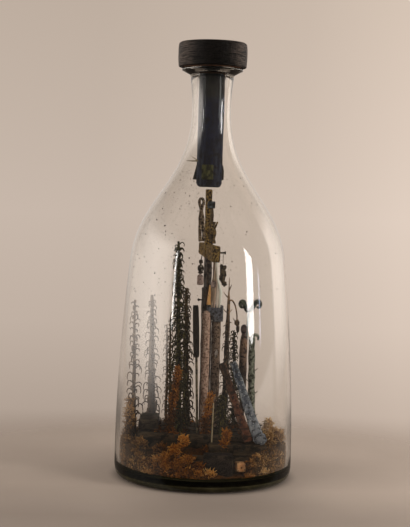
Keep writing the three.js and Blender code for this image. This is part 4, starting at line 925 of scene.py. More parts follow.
# Rooster
# A tiny carved rooster hung by a wire ring from the near nail: one knobbly body that curves from the
# head to the tail, olive above and dark grey below.
rooster_paint = finish("rooster_paint", [(22, 20, 19), (42, 37, 32), (74, 60, 42), (50, 46, 50)], patch=420,
                       wear_and_highlight=(92, 78, 56), grime=((16, 14, 13), 460, 0.45), relief=0.0004)
rooster_middle = on_cross(5.45, -HAND_NAIL_OUT, 0)
rooster_back = smooth_line([(0.3, 157.9), (-0.5, 155.4), (0.2, 152.6), (-0.4, 149.6), (0.2, 146.6),
                            (1.3, 144.2)], 6)
rooster_shapes = [strand(
    [rooster_middle + cross_right * p.x + Vector((0, 0, p.y)) for p in rooster_back],
    lambda s: 0.9 + 1.25 * math.sin(math.pi * (0.12 + 0.8 * s)) + 0.28 * math.sin(21 * s), 14,
    tone=lambda s: 1 - s,
)]
for side, z, size in ((-1.2, 157.4, 1.1), (1.4, 156.6, 1.2), (1.5, 151.4, 1.3), (-1.3, 150.2, 1.2),
                      (1.6, 145.0, 1.4)):
    rooster_shapes.append(lump(rooster_middle + cross_right * side + Vector((0, -0.4, z)),
                               (size, size, 1.3 * size), z, 0.35, tone=0.7 if z > 152 else 0.1))
rooster_shapes.append(strand([
    rooster_middle + cross_deep * (1.0 * math.cos(a)) + Vector((0, 0, 162.6 + 5.2 * math.sin(a)))
    for a in [2 * math.pi * i / 20 for i in range(21)]
], 0.1, 6))
make("rooster", rooster_shapes, rooster_paint)

# Column, reed and hooded post
# Three uprights planted in the deck: a turned column painted brownish pink and stippled, a split reed
# with a long dark head, and a turned post under a pointed hood.
column_paint = finish("stippled_pink_paint",
                      [(114, 88, 73), (150, 120, 102), (180, 151, 132), (134, 104, 87)], patch=360,
                      flecks=((200, 176, 156), 620.0, 0.16), grime=((96, 72, 58), 640, 0.38), relief=0.0003)
column_profile = rounded([(0, DECK_HOLE), (2.9, DECK_HOLE), (2.9, 34.6), (2.8, 60), (2.95, 90), (3.1, 112),
                          (3.0, 119), (2.5, 122.4), (1.2, 123.7), (0, 123.8)], 6)
make("column", [turned(column_profile, (0, -13, 0), 30, 0.3, 61)], column_paint)


def reed_at(z):
    """The line of the reed, which leans to the left."""
    return Vector((-4.4 - 3.4 * (z - 34.6) / 93.4, -17, z))


reed_wood = finish("reed_stalk_wood", [(60, 54, 40), (90, 80, 60), (120, 106, 82)], grain=(700, 700, 60),
                   wear_and_highlight=(130, 118, 94), grime=((36, 30, 22), 300, 0.35))
make("reed_stalk", [strand([reed_at(DECK_HOLE + 69.4 * i / 24) for i in range(25)], 0.9, 12)],
     reed_wood)
reed_dark = finish("dark_reed_head", [(9, 9, 9), (17, 16, 14), (34, 28, 20)], patch=300,
                   grain=(600, 600, 200), wear_and_highlight=(46, 37, 26), relief=0.0003)
make("reed_head", [
    strand([reed_at(90 + 38 * i / 20) for i in range(21)],
           lambda s: (2.1 + 0.25 * math.sin(math.pi * s)) * min(1.0, 0.8 + 4 * s, 0.86 + 6 * (1 - s)), 18),
], reed_dark)
hood_paint = finish("hooded_post_paint", [(94, 82, 74), (136, 115, 101), (168, 143, 122), (116, 104, 99)],
                    patch=240, grime=((32, 27, 25), 380, 0.36), relief=0.0003,
                    heights=[(26, (90, 84, 84)), (74, (96, 92, 92)), (86, (190, 176, 164)),
                             (98, (226, 204, 184)), (103, (150, 140, 150)), (112, (120, 118, 134))])
hood_profile = rounded([(0, DECK_HOLE), (1.74, DECK_HOLE), (1.74, 42.8), (2.2, 58), (3.0, 67.5), (3.0, 84),
                        (2.9, 97), (2.2, 102), (1.7, 104.4), (2.3, 106.6), (2.5, 108.2), (1.83, 110.7),
                        (0, 111.9)], 5)
make("hooded_post", [turned(hood_profile, (29, 17, 0), 28, 0.3, 62)], hood_paint)

# Ladder
# Two flat rails that lean from the sill to the pillar, one red-brown and one blue-grey that widens to
# a rounded foot, both worn and stained, and four round rungs let into them.
ladder_foot = Vector((32.5, -31.6, 31.6))
ladder_head = Vector((11.3, -5.4, 88.0))
rail_step = Vector((8.5, 0, 0))
red_rail = finish("red_brown_rail", [(40, 24, 17), (76, 43, 28), (104, 62, 41), (56, 40, 36)], patch=260,
                  grain=(500, 500, 160), wear_and_highlight=(104, 76, 58), grime=((26, 20, 17), 330, 0.35), relief=0.0003,
                  heights=[(31, (230, 220, 220)), (60, (230, 220, 220)), (74, (120, 130, 120)),
                           (88, (70, 84, 70))])
blue_rail = finish("blue_grey_rail", [(58, 64, 72), (92, 98, 106), (130, 134, 138), (96, 94, 92)], patch=260,
                   grain=(500, 500, 160), wear_and_highlight=(146, 148, 148), grime=((44, 44, 46), 360, 0.35),
                   flecks=((170, 168, 162), 480.0, 0.12), relief=0.0003,
                   heights=[(31, (240, 236, 236)), (52, (230, 228, 228)), (72, (130, 142, 160)),
                            (88, (90, 108, 120))])
make("ladder_rail_left", [
    squared(ladder_foot, ladder_foot.lerp(ladder_head, 0.94), (1, 0, 0), 6.0, 3.4, 0.8, 0.35, 71, tip=0.85),
], red_rail)
make("ladder_rail_right", [
    squared(ladder_foot + rail_step + Vector((-0.9, 0, 0.6)),
            ladder_foot.lerp(ladder_head, 0.96) + rail_step, (1, 0, 0), 8.4, 3.4, 1.2, 0.35, 72, tip=0.55),
    lump(ladder_foot + rail_step + Vector((-0.5, -0.2, 2.2)), (4.6, 2.3, 4.4), 73, 0.14, 14, 22, tone=0.25),
], blue_rail)
rung_wood = finish("rung_wood", [(20, 17, 14), (36, 30, 24), (56, 46, 36)], grain=(120, 700, 700))
RUNG_COUNT = 4
for number in range(RUNG_COUNT):
    rung_at = ladder_foot.lerp(ladder_head, (number + 0.5) / RUNG_COUNT)
    make(f"ladder_rung_{number + 1}", [
        strand([rung_at + rail_step * (i / 8) for i in range(9)],
               lambda s: 0.8 - 0.08 * math.sin(math.pi * s), 10),
    ], rung_wood)

# Trees
# Thin sticks with curls shaved up along them and left hanging, so that they stand like small firs.
# Those on the left are bare and grey-brown, the rest are stained dark green.
GOLDEN_TURN = 2.39996
TRUNK_STEPS = 40


def trunk_line(foot, top, bow, seed):
    """The bent middle line of a stick from its foot to its tip."""
    shift = Vector((seed * 3.3, seed * 1.7, 0))
    out = []
    for i in range(TRUNK_STEPS + 1):
        share = i / TRUNK_STEPS
        p = Vector(foot).lerp(Vector(top), share)
        sway = bow * math.sin(math.pi * share)
        out.append(p + Vector((sway * noise.noise(Vector((share * 3, 0.3, 0)) + shift),
                               sway * noise.noise(Vector((0.7, share * 3, 0)) + shift), 0)))
    return out


def shaved_tree(foot, top, girth, reach, bare, count, seed, shaving=0.45, rise=0.5, hang=0.0, crown=0.985,
                point=1.0):
    """A tapered stick and the curls shaved from it, shorter towards the tip, which may be pointed."""
    pick = random.Random(seed)
    line = trunk_line(foot, top, 1.2, seed)

    def stick(s):
        knobbly = 1 + 0.12 * math.sin(41 * s + seed)
        return girth * (1 - 0.66 * s) * knobbly * min(1.0, point + (1 - s) / 0.24)

    def curl_width(s):
        return shaving * (0.55 + 0.75 * math.sin(math.pi * (0.15 + 0.8 * s))) * (1 - 0.45 * s)

    shapes = [strand(line, stick, 10, tone=lambda s: 0.25 * s)]
    for i in range(count):
        share = bare + (crown - bare) * (i + 0.5) / count + pick.uniform(-0.008, 0.008)
        spot = min(share, 0.985) * TRUNK_STEPS
        root = line[int(spot)].lerp(line[min(int(spot) + 1, TRUNK_STEPS)], spot - int(spot))
        angle = i * GOLDEN_TURN + pick.uniform(-0.5, 0.5)
        long = reach * (1.05 - 0.62 * share) * pick.uniform(0.6, 1.12)
        out = Vector((math.cos(angle), math.sin(angle), 0))
        high = rise * pick.uniform(0.7, 1.3)
        droop = pick.uniform(-0.35, 0.3) - hang
        curve = smooth_line([
            (0, 0, 0), (0.3, 0.62 * high, 0), (0.62, 0.9 * high, 0), (0.9, 0.62 * high, 0),
            (1.0, 0.2 * high + droop, 0), (0.9, droop - 0.1, 0),
        ], 3)
        curl = [root + out * (p.x * long) + Vector((0, 0, p.y * long)) for p in curve]
        shapes.append(strand(curl, curl_width, 6, 0.45, lambda s: 0.3 + 0.6 * s,
                             out.cross(Vector((0, 0, 1)))))
    return shapes


grey_stick = finish("grey_stick", [(66, 53, 40), (98, 80, 62), (126, 105, 84), (86, 69, 52)], patch=260,
                    wear_and_highlight=(136, 115, 92), grime=((58, 46, 35), 320, 0.3), relief=0.0002,
                    heights=[(13, (150, 140, 130)), (60, (200, 190, 180)), (100, (255, 250, 245))])
green_stain = finish("dark_green_stain", [(13, 15, 8), (29, 30, 13), (54, 50, 20), (58, 42, 17)], patch=300,
                     wear_and_highlight=(84, 76, 36), grime=((12, 12, 7), 420, 0.36), relief=0.0002)
brown_stain = finish("brown_green_stain", [(22, 18, 10), (44, 35, 17), (70, 53, 26), (46, 43, 22)], patch=300,
                     wear_and_highlight=(96, 75, 40), grime=((16, 13, 8), 420, 0.36), relief=0.0002)
pale_stick = finish("pale_grey_stick", [(96, 82, 68), (128, 111, 94), (150, 132, 114), (112, 95, 79)],
                    patch=260, wear_and_highlight=(160, 142, 122), grime=((84, 70, 57), 320, 0.3), relief=0.0002,
                    heights=[(13, (120, 110, 100)), (50, (160, 150, 140)), (86, (255, 250, 245))])
for name, x, y, low, tip_x, high, girth, reach, bare, count, seed, shaving, rise, hang, stain, slot in (
    ("tree_left_wall", -51.4, -5, BEARER_HOLE, -52.9, 130, 1.9, 7.6, 0.2, 66, 81, 0.85, 0.6, 0.12,
     grey_stick, "grey_tree"),
    ("tree_left_back", -39.4, 19.5, DECK_HOLE, -41.9, 131.7, 3.4, 8.2, 0.08, 84, 82, 0.85, 0.55, 0.12,
     pale_stick, "grey_tree"),
    ("tree_left_far", -29, 38, BEARER_HOLE, -30.5, 108, 1.4, 5.4, 0.15, 60, 83, 0.55, 0.5, 0.2,
     grey_stick, "grey_tree"),
    ("tree_left_thin", -25, 4.5, DECK_HOLE, -26.8, 116.5, 1.4, 4.8, 0.1, 80, 79, 0.6, 0.5, 0.15,
     brown_stain, "grey_tree"),
    ("tree_tall_green", -18.1, -13, DECK_HOLE, -21.5, 173.9, 2.4, 8.6, 0.03, 300, 84, 0.8, 0.7, 0.0,
     green_stain, "green_tree"),
    ("tree_brown_green", -12.9, 15, DECK_HOLE, -15.5, 138, 2.8, 7.4, 0.05, 200, 85, 0.8, 0.7, 0.0,
     brown_stain, "green_tree"),
    ("tree_right_twig", 23.1, 14, DECK_HOLE, 21.4, 107.4, 1.1, 6.4, 0.05, 220, 87, 0.7, 0.5, 0.0,
     green_stain, "green_tree"),
    ("tree_front_bush", 12.2, -19, DECK_HOLE, 12.7, 62, 1.0, 7.6, 0.06, 160, 88, 0.75, 0.6, 0.0,
     green_stain, "green_tree"),
):
    tree_shapes = shaved_tree((x, y, low), (tip_x, y, high), girth, reach, bare, count, seed, shaving, rise,
                              hang)
    make(name, tree_shapes, stain)

# Spike, post and palm
# Three odd trees on the right: a smooth brown spike with a drooping twig that ends in a bud and a
# leaf, a mottled grey-green post rolled into a hook at its top, and a palm with two rolled fronds.
spike_stain = finish("spike_stain", [(60, 52, 46), (96, 78, 62), (130, 104, 80), (150, 122, 94)], patch=220,
                     grain=(600, 600, 120), wear_and_highlight=(140, 112, 84), grime=((44, 38, 33), 360, 0.3),
                     heights=[(26, (70, 84, 88)), (100, (84, 100, 108)), (116, (150, 146, 146)),
                              (124, (255, 250, 245)), (147, (255, 250, 245))], relief=0.0003)
spike_top = Vector((16.6, 3, 147.3))
spike_shapes = shaved_tree((14.4, 3, DECK_HOLE), spike_top, 2.9, 5.4, 0.05, 90, 86, 0.65, crown=0.72,
                           point=0.16)
spike_from = spike_top + Vector((0, 0, -17.6))
spike_bud = spike_from + Vector((6.7, 5.6, -16))
twig_line = smooth_line([
    spike_from, spike_from + Vector((2.2, 1.8, 0.9)), spike_from + Vector((4.6, 3.8, -2.4)),
    spike_from + Vector((6.2, 5.2, -8.5)), spike_bud + Vector((0, 0, 1.2)),
])
spike_shapes.append(strand(twig_line, lambda s: 0.65 - 0.15 * s, 8, tone=0.8))
spike_shapes.append(lump(spike_bud, (1.9, 1.7, 2.5), 91, 0.35, tone=0.9))
spike_shapes.append(lump(spike_bud + Vector((0.6, 0, -4.4)), (1.3, 0.8, 2.8), 92, 0.3, tone=0.0))
for thorn_foot, thorn_way in (
    (spike_bud, Vector((-3.2, 0, 1.6))), (spike_top + Vector((0, 0, -15)), Vector((-4.0, 0, 2.6))),
    (spike_top + Vector((-0.4, 0, -26)), Vector((-3.4, 0, 1.0))),
    (spike_top + Vector((-0.4, 0, -26)), Vector((3.2, 0, 1.2))),
    (spike_top + Vector((0, 0, -9)), Vector((1.8, 0, 2.2))),
):
    thorn = [thorn_foot + thorn_way * (i / 4) + Vector((0, 0, 0.12 * i * i)) for i in range(5)]
    spike_shapes.append(strand(thorn, lambda s: 0.62 - 0.46 * s, 6, tone=0.8))
make("tree_right_spike", spike_shapes, spike_stain)

post_green = finish("mottled_green_post", [(58, 64, 52), (96, 100, 82), (136, 138, 120), (80, 86, 68)],
                    patch=300, flecks=((160, 160, 142), 420.0, 0.16), grime=((34, 38, 28), 520, 0.5),
                    relief=0.0004)
hook_top = Vector((34.7, 3.6, 103))
post_line = trunk_line((36.1, 3.6, DECK_HOLE), hook_top, 0.6, 89)
hook_line = [hook_top + Vector((2.4 - 2.4 * math.cos(a), 0, 2.4 * math.sin(a)))
             for a in [math.radians(20 * i) for i in range(1, 12)]]
post_shapes = [
    strand(post_line, lambda s: 2.9 * (1 - 0.18 * s) * (1 + 0.08 * math.sin(33 * s)), 16),
    strand([post_line[-1]] + hook_line, lambda s: 1.6 - 0.9 * s, 10, 0.8),
    lump(hook_top, (2.3, 2.3, 1.6), 93, 0.2),
]
for z, side in ((44, 1), (52, -1), (61, 1), (70, -1), (78, 1)):
    root = Vector((36.1 - 1.4 * (z - DECK_HOLE) / (hook_top.z - DECK_HOLE), 3.6, z))
    thorn = [root, root + Vector((2.9 * side, -1.2, 0.8)), root + Vector((4.6 * side, -1.6, 2.4))]
    post_shapes.append(strand(thorn, lambda s: 0.55 - 0.35 * s, 6, tone=0.9))
make("tree_green_post", post_shapes, post_green)

palm_stain = finish("palm_stain", [(20, 26, 20), (38, 46, 34), (66, 72, 54), (84, 88, 70)], patch=300,
                    wear_and_highlight=(96, 98, 78), grime=((20, 24, 18), 420, 0.4), relief=0.0003)
palm_top = Vector((33.2, 30.5, 122))
palm_shapes = [strand(trunk_line((27.6, 30.5, DECK_HOLE), palm_top, 0.8, 90), lambda s: 1.3 - 0.3 * s, 10)]
for leaf in (
    [(0, -2.2), (-1.6, -1.0), (-3.0, 1.6), (-4.0, 4.6), (-5.6, 5.6), (-6.9, 4.2), (-6.6, 2.0), (-5.2, 1.2),
     (-4.5, 2.4)],
    [(0, -1.4), (1.8, 0.2), (3.6, 3.2), (5.2, 5.4), (7.2, 5.8), (8.6, 4.2), (8.2, 2.0), (6.7, 1.2),
     (5.9, 2.4)],
):
    roll = smooth_line([palm_top + Vector((u, 0, v)) for u, v in leaf], 4)
    palm_shapes.append(strand(roll, lambda s: 0.9 + 0.75 * math.sin(math.pi * min(1.0, 0.1 + s)) - 0.35 * s,
                              12, 1.25, lambda s: s, Vector((0, 1, 0))))
make("tree_right_palm", palm_shapes, palm_stain)

# Moss
# Dried curly moss packed round the raft and against the glass, with taller tufts between the trees.
# Its light and shade are painted: orange-brown highlights where it would catch the light and painted shade in
# the hollows, from the dark bed beneath to the roots of the fibres and the cores and feet of the tufts.
moss_pick = random.Random(5)
moss_tints, moss_tree, moss_face, moss_place = new_paint("dried_moss")
moss_fuzz = cloud(moss_tree, moss_place, 700.0, 4.0, 0.7)
moss_mix = between(moss_tree, 0.3, wear_and_light_tone(moss_tree), moss_fuzz)
moss_orange = add_ramp(moss_tree, moss_mix, [
    (0.14, paint(24, 15, 7)), (0.28, paint(76, 44, 13)), (0.42, paint(138, 80, 24)),
    (0.56, paint(184, 115, 42)), (0.72, paint(208, 150, 74)), (0.9, paint(222, 180, 116)),
])
moss_tan = add_ramp(moss_tree, moss_mix, [
    (0.14, paint(26, 19, 12)), (0.28, paint(74, 51, 27)), (0.42, paint(134, 94, 50)),
    (0.56, paint(180, 134, 78)), (0.72, paint(206, 164, 108)), (0.9, paint(222, 192, 146)),
])
moss_patch = cloud(moss_tree, moss_place, 55.0, 2.0)
moss_aside = calc(moss_tree, "ABSOLUTE", axes_of(moss_tree, moss_place)["X"])
moss_outer = ranged(moss_tree, moss_aside, 0.022, 0.05)
moss_hue = ranged(moss_tree, between(moss_tree, 0.5, moss_patch, moss_outer), 0.3, 0.6)
moss_tree.links.new(blend(moss_tree, moss_hue, moss_orange, moss_tan), moss_face.inputs["Base Color"])
emboss(moss_tree, moss_face, moss_fuzz, 0.8, 0.0005)
settle(moss_face, {"Roughness": 0.9, "Specular IOR Level": 0.12})
MOSS_REACH = 62.0
MOSS_FOOT = 8.35


def bed_reach(z):
    """How far the moss may stand from the axis at that height, where the glass rounds into its floor."""
    if z < FLOOR_CURVE:
        return 58.2 + math.sqrt(max(0.0, 3.7 ** 2 - (FLOOR_CURVE - z) ** 2))
    return min(MOSS_REACH, inside_radius(z) - 0.6)


def bed_top(x, y):
    """Height of the moss bed: high along the side and back walls, lower in front of the raft."""
    z = 24.5 + 2.4 * noise.noise(Vector((x * 0.09, y * 0.09, 4.0)))
    z += 1.2 * noise.noise(Vector((x * 0.3, y * 0.3, 9.0)))
    z += 5 * ease(40, 56, x) + 4 * ease(40, 56, -x) + 5 * ease(20, 48, y)
    z -= 13 * ease(30, 42, -y) * ease(-34, -12, x) * ease(-40, -28, -x)
    z -= 7 * ease(30, 44, -y) * ease(12, 34, -x)
    return max(z, 10.0)


BED_TURNS = 160
BED_FALLS = 10
bed_radii = [6 * i for i in range(1, 10)] + [57, 59.5]
bed_points = [Vector((0, 0, bed_top(0, 0)))]
for radius in bed_radii:
    for k in range(BED_TURNS):
        angle = 2 * math.pi * k / BED_TURNS
        x, y = radius * math.cos(angle), radius * math.sin(angle)
        rough_top = 1.1 * noise.noise(Vector((x * 0.6, y * 0.6, 2.0)))
        bed_points.append(Vector((x, y, max(bed_top(x, y) + rough_top, 9.0))))
for fall in range(1, BED_FALLS + 1):
    for k in range(BED_TURNS):
        angle = 2 * math.pi * k / BED_TURNS
        top = bed_top(60.5 * math.cos(angle), 60.5 * math.sin(angle)) - 1.2
        z = top + (MOSS_FOOT - top) * fall / BED_FALLS
        spot = Vector((9 * math.cos(angle), 9 * math.sin(angle), z * 0.35))
        bulge = bed_reach(z) - 0.5 + 0.45 * noise.noise(spot)
        bed_points.append(Vector((bulge * math.cos(angle), bulge * math.sin(angle), z)))
bed_rings = [[0]] + [
    [1 + ring * BED_TURNS + k for k in range(BED_TURNS)] for ring in range(len(bed_radii) + BED_FALLS)
]
# The bed beneath the fibres is painted dark, as the shade in the hollows of the moss.
bed_shade_tones = [0.10 + 0.16 * noise.noise(p * 0.3) + 0.1 * noise.noise(p * 0.9) for p in bed_points]


def moss_curl(root, out, long, tone, thick=0.24):
    """One curled fibre of moss, kept inside the glass."""
    twist = Vector((moss_pick.uniform(-1, 1), moss_pick.uniform(-1, 1), moss_pick.uniform(-1, 1)))
    line = []
    p = Vector(root)
    way = Vector(out).normalized()
    for i in range(5):
        p.z = max(p.z, MOSS_FOOT + 0.25)
        away = math.hypot(p.x, p.y)
        limit = bed_reach(p.z) - 0.25
        if away > limit:
            p = Vector((p.x * limit / away, p.y * limit / away, p.z))
        line.append(p.copy())
        way = (way + twist * 0.62).normalized()
        p = p + way * (long / 4)
    # Each fibre is painted darker at its root and lighter at its tip, as shade and light.
    return strand(line, lambda s: thick * (1 - 0.55 * s), 3, tone=lambda s: tone * (0.72 + 0.45 * s))


def moss_clump(middle, radii, count, tone, long=(1.8, 3.6)):
    """A springy ball of curled fibres round a middle."""
    out = []
    for _ in range(count):
        way = Vector((moss_pick.gauss(0, 1), moss_pick.gauss(0, 1), moss_pick.gauss(0.35, 1))).normalized()
        depth = moss_pick.uniform(0.35, 0.95)
        root = Vector(middle) + Vector((way.x * radii[0], way.y * radii[1], way.z * radii[2])) * depth
        # Fibres rooted deeper in the clump are painted darker, as shade.
        shade = tone * (0.5 + 0.55 * depth) + moss_pick.uniform(-0.14, 0.14)
        out.append(moss_curl(root, way + Vector((moss_pick.uniform(-1, 1), moss_pick.uniform(-1, 1), 0.2)),
                             moss_pick.uniform(*long), min(1.0, max(0.03, shade)),
                             moss_pick.uniform(0.24, 0.46)))
    return out


WALL_CLUMPS = 190
LOOSE_CLUMPS = 90
DECK_CLUMPS = 40
bed_shapes = [(bed_points, skin(bed_rings[::-1]), bed_shade_tones)]
left_wall_shapes, right_wall_shapes, loose_shapes = [], [], []
# The last column is each clump's brightness: partly its own tint, partly painted light, with the clumps on
# the right wall painted brighter as highlights.
for x, y, z, size, high, tone in (
    (-48, -34, 15, 6.0, 4.5, 0.62), (-38, -46, 11, 6.5, 3.5, 0.8), (-25.6, -44, 20, 5.0, 4.5, 0.6),
    (-20, -44, 26, 4.5, 4.5, 0.62), (-14, -44, 33, 4.0, 4.0, 0.66), (-15.5, -54, 19, 5.0, 4.0, 0.5),
    (5, -57, 12, 5.0, 3.4, 0.86), (41, -42, 12, 5.5, 4.0, 0.86), (49, -30, 17, 5.0, 5.0, 0.84),
    (46.6, -20, 31, 5.0, 4.0, 0.74), (46.4, -20, 35.5, 4.2, 3.6, 0.8), (46.6, -20, 40, 3.4, 3.4, 0.86),
    (46.9, -20, 43.8, 2.3, 2.6, 0.92), (51.5, -18, 36, 3.6, 3.6, 0.7),
    (15.4, -34, 29, 3.2, 4.0, 0.5), (16.2, -34, 36, 2.6, 4.5, 0.48), (-44.6, -30, 28, 4.5, 4.0, 0.4),
    (33, -51, 10, 4.0, 2.6, 0.5), (-3, -52, 16, 4.6, 3.6, 0.36), (-30, -38, 26, 4.6, 4.0, 0.32),
    (-55, -20, 27, 5.0, 4.5, 0.4), (-52, -26, 22, 5.0, 4.5, 0.5), (53, -18, 27, 5.0, 4.5, 0.8),
    (55, -14, 33, 4.0, 4.5, 0.76), (52, -24, 22, 5.0, 4.5, 0.84), (-56, -8, 30, 4.0, 4.5, 0.4),
    (56, -4, 32, 4.0, 4.5, 0.5), (44, -36, 19, 4.5, 4.0, 0.76),
):
    bed_shapes += moss_clump((x, y, z), (size, size, high), 120, tone)
for _ in range(WALL_CLUMPS):
    angle = math.radians(moss_pick.uniform(175, 365))
    z = moss_pick.uniform(9.5, 24)
    away = bed_reach(z) - 2.2
    x, y = away * math.cos(angle), away * math.sin(angle)
    if -2 < x < 33 and y < -36 and z > 10.5:
        continue
    size = moss_pick.uniform(2.4, 4.4)
    wall_shapes = left_wall_shapes if x < 0 else right_wall_shapes
    wall_shapes += moss_clump((x, y, z), (size, size, 0.8 * size), 44, moss_pick.uniform(0.12, 0.72),
                              (1.2, 2.8))
for _ in range(LOOSE_CLUMPS):
    angle = moss_pick.uniform(0, 2 * math.pi)
    if moss_pick.random() < 0.4:
        z = moss_pick.uniform(11, 26)
        away = bed_reach(z) - 2.5
    else:
        away = 60 * math.sqrt(moss_pick.uniform(0.2, 0.9))
        z = bed_top(away * math.cos(angle), away * math.sin(angle))
    x, y = away * math.cos(angle), away * math.sin(angle)
    if -48 < x < 44 and abs(y) < 25 or 0 < x < 32 and y < -36:
        continue
    size = moss_pick.uniform(3.0, 5.2)
    loose_shapes += moss_clump((x, y, z), (size, size, 0.8 * size), 56, moss_pick.uniform(0.15, 0.55))
for _ in range(DECK_CLUMPS):
    x, y = moss_pick.uniform(-46, 42), moss_pick.uniform(-24, 24)
    bed_shapes += moss_clump((x, y, 35), (3.6, 3.0, 2.0), 34, moss_pick.uniform(0.1, 0.45))
make("moss_bed", bed_shapes, moss_tints)
make("moss_left_wall", left_wall_shapes, moss_tints, node=None)
make("moss_right_wall", right_wall_shapes, moss_tints, node=None)
make("moss_loose", loose_shapes, moss_tints, node=None)
for node, foot, top, radius, tone in (
    ("moss_tuft_wall", (-54.5, -13, 30), (-53.8, -13, 56), 4.6, 0.7),
    ("moss_tuft_left", (-25.0, -20.5, 37), (-19.4, -20.5, 81), 4.2, 0.46),
    ("moss_tuft_middle", (1.2, -20.8, 36), (4.4, -20.8, 62), 4.8, 0.66),
):
    tuft_shapes = []
    steps = int((top[2] - foot[2]) / 2.4)
    for i in range(steps):
        share = i / (steps - 1)
        spot = Vector(foot).lerp(Vector(top), share)
        spot.x += 0.8 * noise.noise(Vector((spot.z * 0.1, foot[0], 0)))
        wide = radius * (1.0 - 0.5 * share) * moss_pick.uniform(0.6, 1.25)
        # Each tuft has a dark core of painted shade, and its fibres are painted darker towards its foot.
        tuft_shapes.append(lump(spot, (0.5 * wide, 0.5 * wide, 2.2), i, 0.3, 6, 8, 0.12))
        lit = tone * moss_pick.uniform(0.6, 1.2) * (0.35 + 0.65 * ease(0.2, 0.55, share))
        tuft_shapes += moss_clump(spot, (wide, wide, 2.2), 44, lit, (1.6, 3.4))
    make(node, tuft_shapes, moss_tints)

# Straw
# A thin pale straw of dry grass, round and a little tapered, stuck upright in the moss in front of
# the middle tuft.
straw_wood = finish("straw", [(140, 122, 92), (166, 148, 116), (186, 170, 138)], grain=(900, 900, 60))
make("straw", [strand([Vector((6.2 + 0.06 * i, -25.5, 27 + 3.1 * i)) for i in range(11)],
                      lambda s: 0.5 - 0.12 * s, 8)], straw_wood, node=None)

# Die
# A small orange-brown wooden die that lies on the moss at the front, sawn as a cube, with rounded
# edges and drilled dark pips.
die_wood = finish("die_wood", [(190, 124, 74), (216, 152, 98), (230, 178, 124)], patch=200,
                  grain=(300, 300, 300), wear_and_highlight=(236, 192, 142), grime=((130, 82, 46), 300, 0.22))
pip_ink = finish("pip_ink", [(38, 24, 16), (52, 34, 22)], patch=300)
DIE_HALF = 3.25
PIP_STEP = 1.65
die_middle = Vector((26.4, -46.5, 16.45))
die_turn = math.radians(14)
die_right = Vector((math.cos(die_turn), math.sin(die_turn), 0))
die_deep = Vector((-math.sin(die_turn), math.cos(die_turn), 0))
up = Vector((0, 0, 1))
make("die", [
    squared(die_middle - up * DIE_HALF, die_middle + up * DIE_HALF, die_right, 2 * DIE_HALF, 2 * DIE_HALF,
            0.8, 0.08, 95, step=0.8),
], die_wood)
pips = []
for out, first, second, spots in (
    (-die_deep, die_right, up, ((0, 0),)),
    (die_deep, die_right, up, ((1, 1), (-1, 1), (1, 0), (-1, 0), (1, -1), (-1, -1))),
    (die_right, die_deep, up, ((1, 1), (0, 0), (-1, -1))),
    (-die_right, die_deep, up, ((1, 1), (-1, 1), (1, -1), (-1, -1))),
    (up, die_right, die_deep, ((1, 1), (-1, -1))),
):
    for u, v in spots:
        middle = die_middle + out * (DIE_HALF - 0.05) + (first * u + second * v) * PIP_STEP
        pips.append(stepped([middle - out * 0.3, middle, middle + out * 0.1, middle + out * 0.12],
                            (0.6, 0.62, 0.5, 0.1)))
make("die_pips", pips, pip_ink, node=None)

# Stopper washer
# A ring of brown leather, cut by hand and pressed flat, that lies between the lip and the cap and
# turns with the stopper.
leather = finish("washer_leather", [(52, 32, 22), (78, 50, 34), (100, 70, 50)], patch=300,
                 grain=(500, 500, 500), wear_and_highlight=(116, 86, 62), relief=0.0002)
make("stopper_washer", [
    turned([(9.8, 301.6), (20.9, 301.5), (21.4, 301.8), (21.55, 302.2), (21.4, 302.6), (20.9, 302.9),
            (9.8, 302.8), (9.8, 301.6)], (0, 0, 0), 72, 0.12, 96),
], leather, body="washer")

# Stopper cap
# A turned wooden cap, black with age, with nearly straight sides, a flat top and a hollow underneath
# for the washer; fine marks of turning run round it, and its left and right sides carry a streaky grey-brown
# painted highlight.
# Its worn colour is a painted highlight, laid on the cap's left and right sides by the tones below.
cap_black = finish("black_cap", [(3, 3, 2), (6, 5, 4), (22, 18, 15), (8, 7, 6)], patch=900,
                   grain=(160, 160, 2200), share=0.66, rough=(0.4, 0.7), flecks=((34, 28, 24), 900.0, 0.1),
                   wear_and_highlight=(86, 73, 64), relief=0.0006, gloss=0.12)
cap_profile = [(0, 303.2), (21.9, 303.2), (22.0, 302.3), (22.3, 302.0), (24.0, 302.0)]
cap_profile += rounded([(24.4, 302.1), (24.9, 302.6), (25.05, 303.6), (25.3, 307), (25.4, 311), (25.3, 315),
                        (25.1, 318), (24.7, 319.2), (23.8, 319.8), (22.4, 320), (12, 320), (0, 320)], 4)
cap_points, cap_faces, cap_side_highlight = turned(cap_profile, (0, 0, 0), 96, 0.12, 97)
# The tones rise towards the cap's left and right sides, where the painted highlight goes.
cap_side_highlight = [0.9 * ease(9, 22, abs(p.x)) for p in cap_points]
make("stopper_cap", [(cap_points, cap_faces, cap_side_highlight)], cap_black, body="stopper")

# Stopper stem
# The tongue under the cap: a flat bar with broad chamfers, painted dark blue, bare and olive-brown
# just under the cap, with a bevelled lower end.
stem_blue = finish("dark_blue_paint", [(10, 18, 40), (22, 35, 64), (44, 60, 94), (36, 42, 56)], patch=140,
                   heights=[(214, (112, 118, 140)), (276, (116, 122, 140)), (282, (176, 146, 88)),
                            (303, (168, 136, 78))],
                   grain=(500, 500, 60), wear_and_highlight=(50, 54, 62), rough=(0.4, 0.62), relief=0.0002, gloss=0.25,
                   grime=((10, 12, 16), 200, 0.3))
make("stopper_stem", [
    squared((-0.45, 0, 214), (0, 0, 303.1), (1, 0, 0), 18.8, 10, 3.0, 0.15, 98, tip=0.985, facets=1),
], stem_blue, body="stopper")

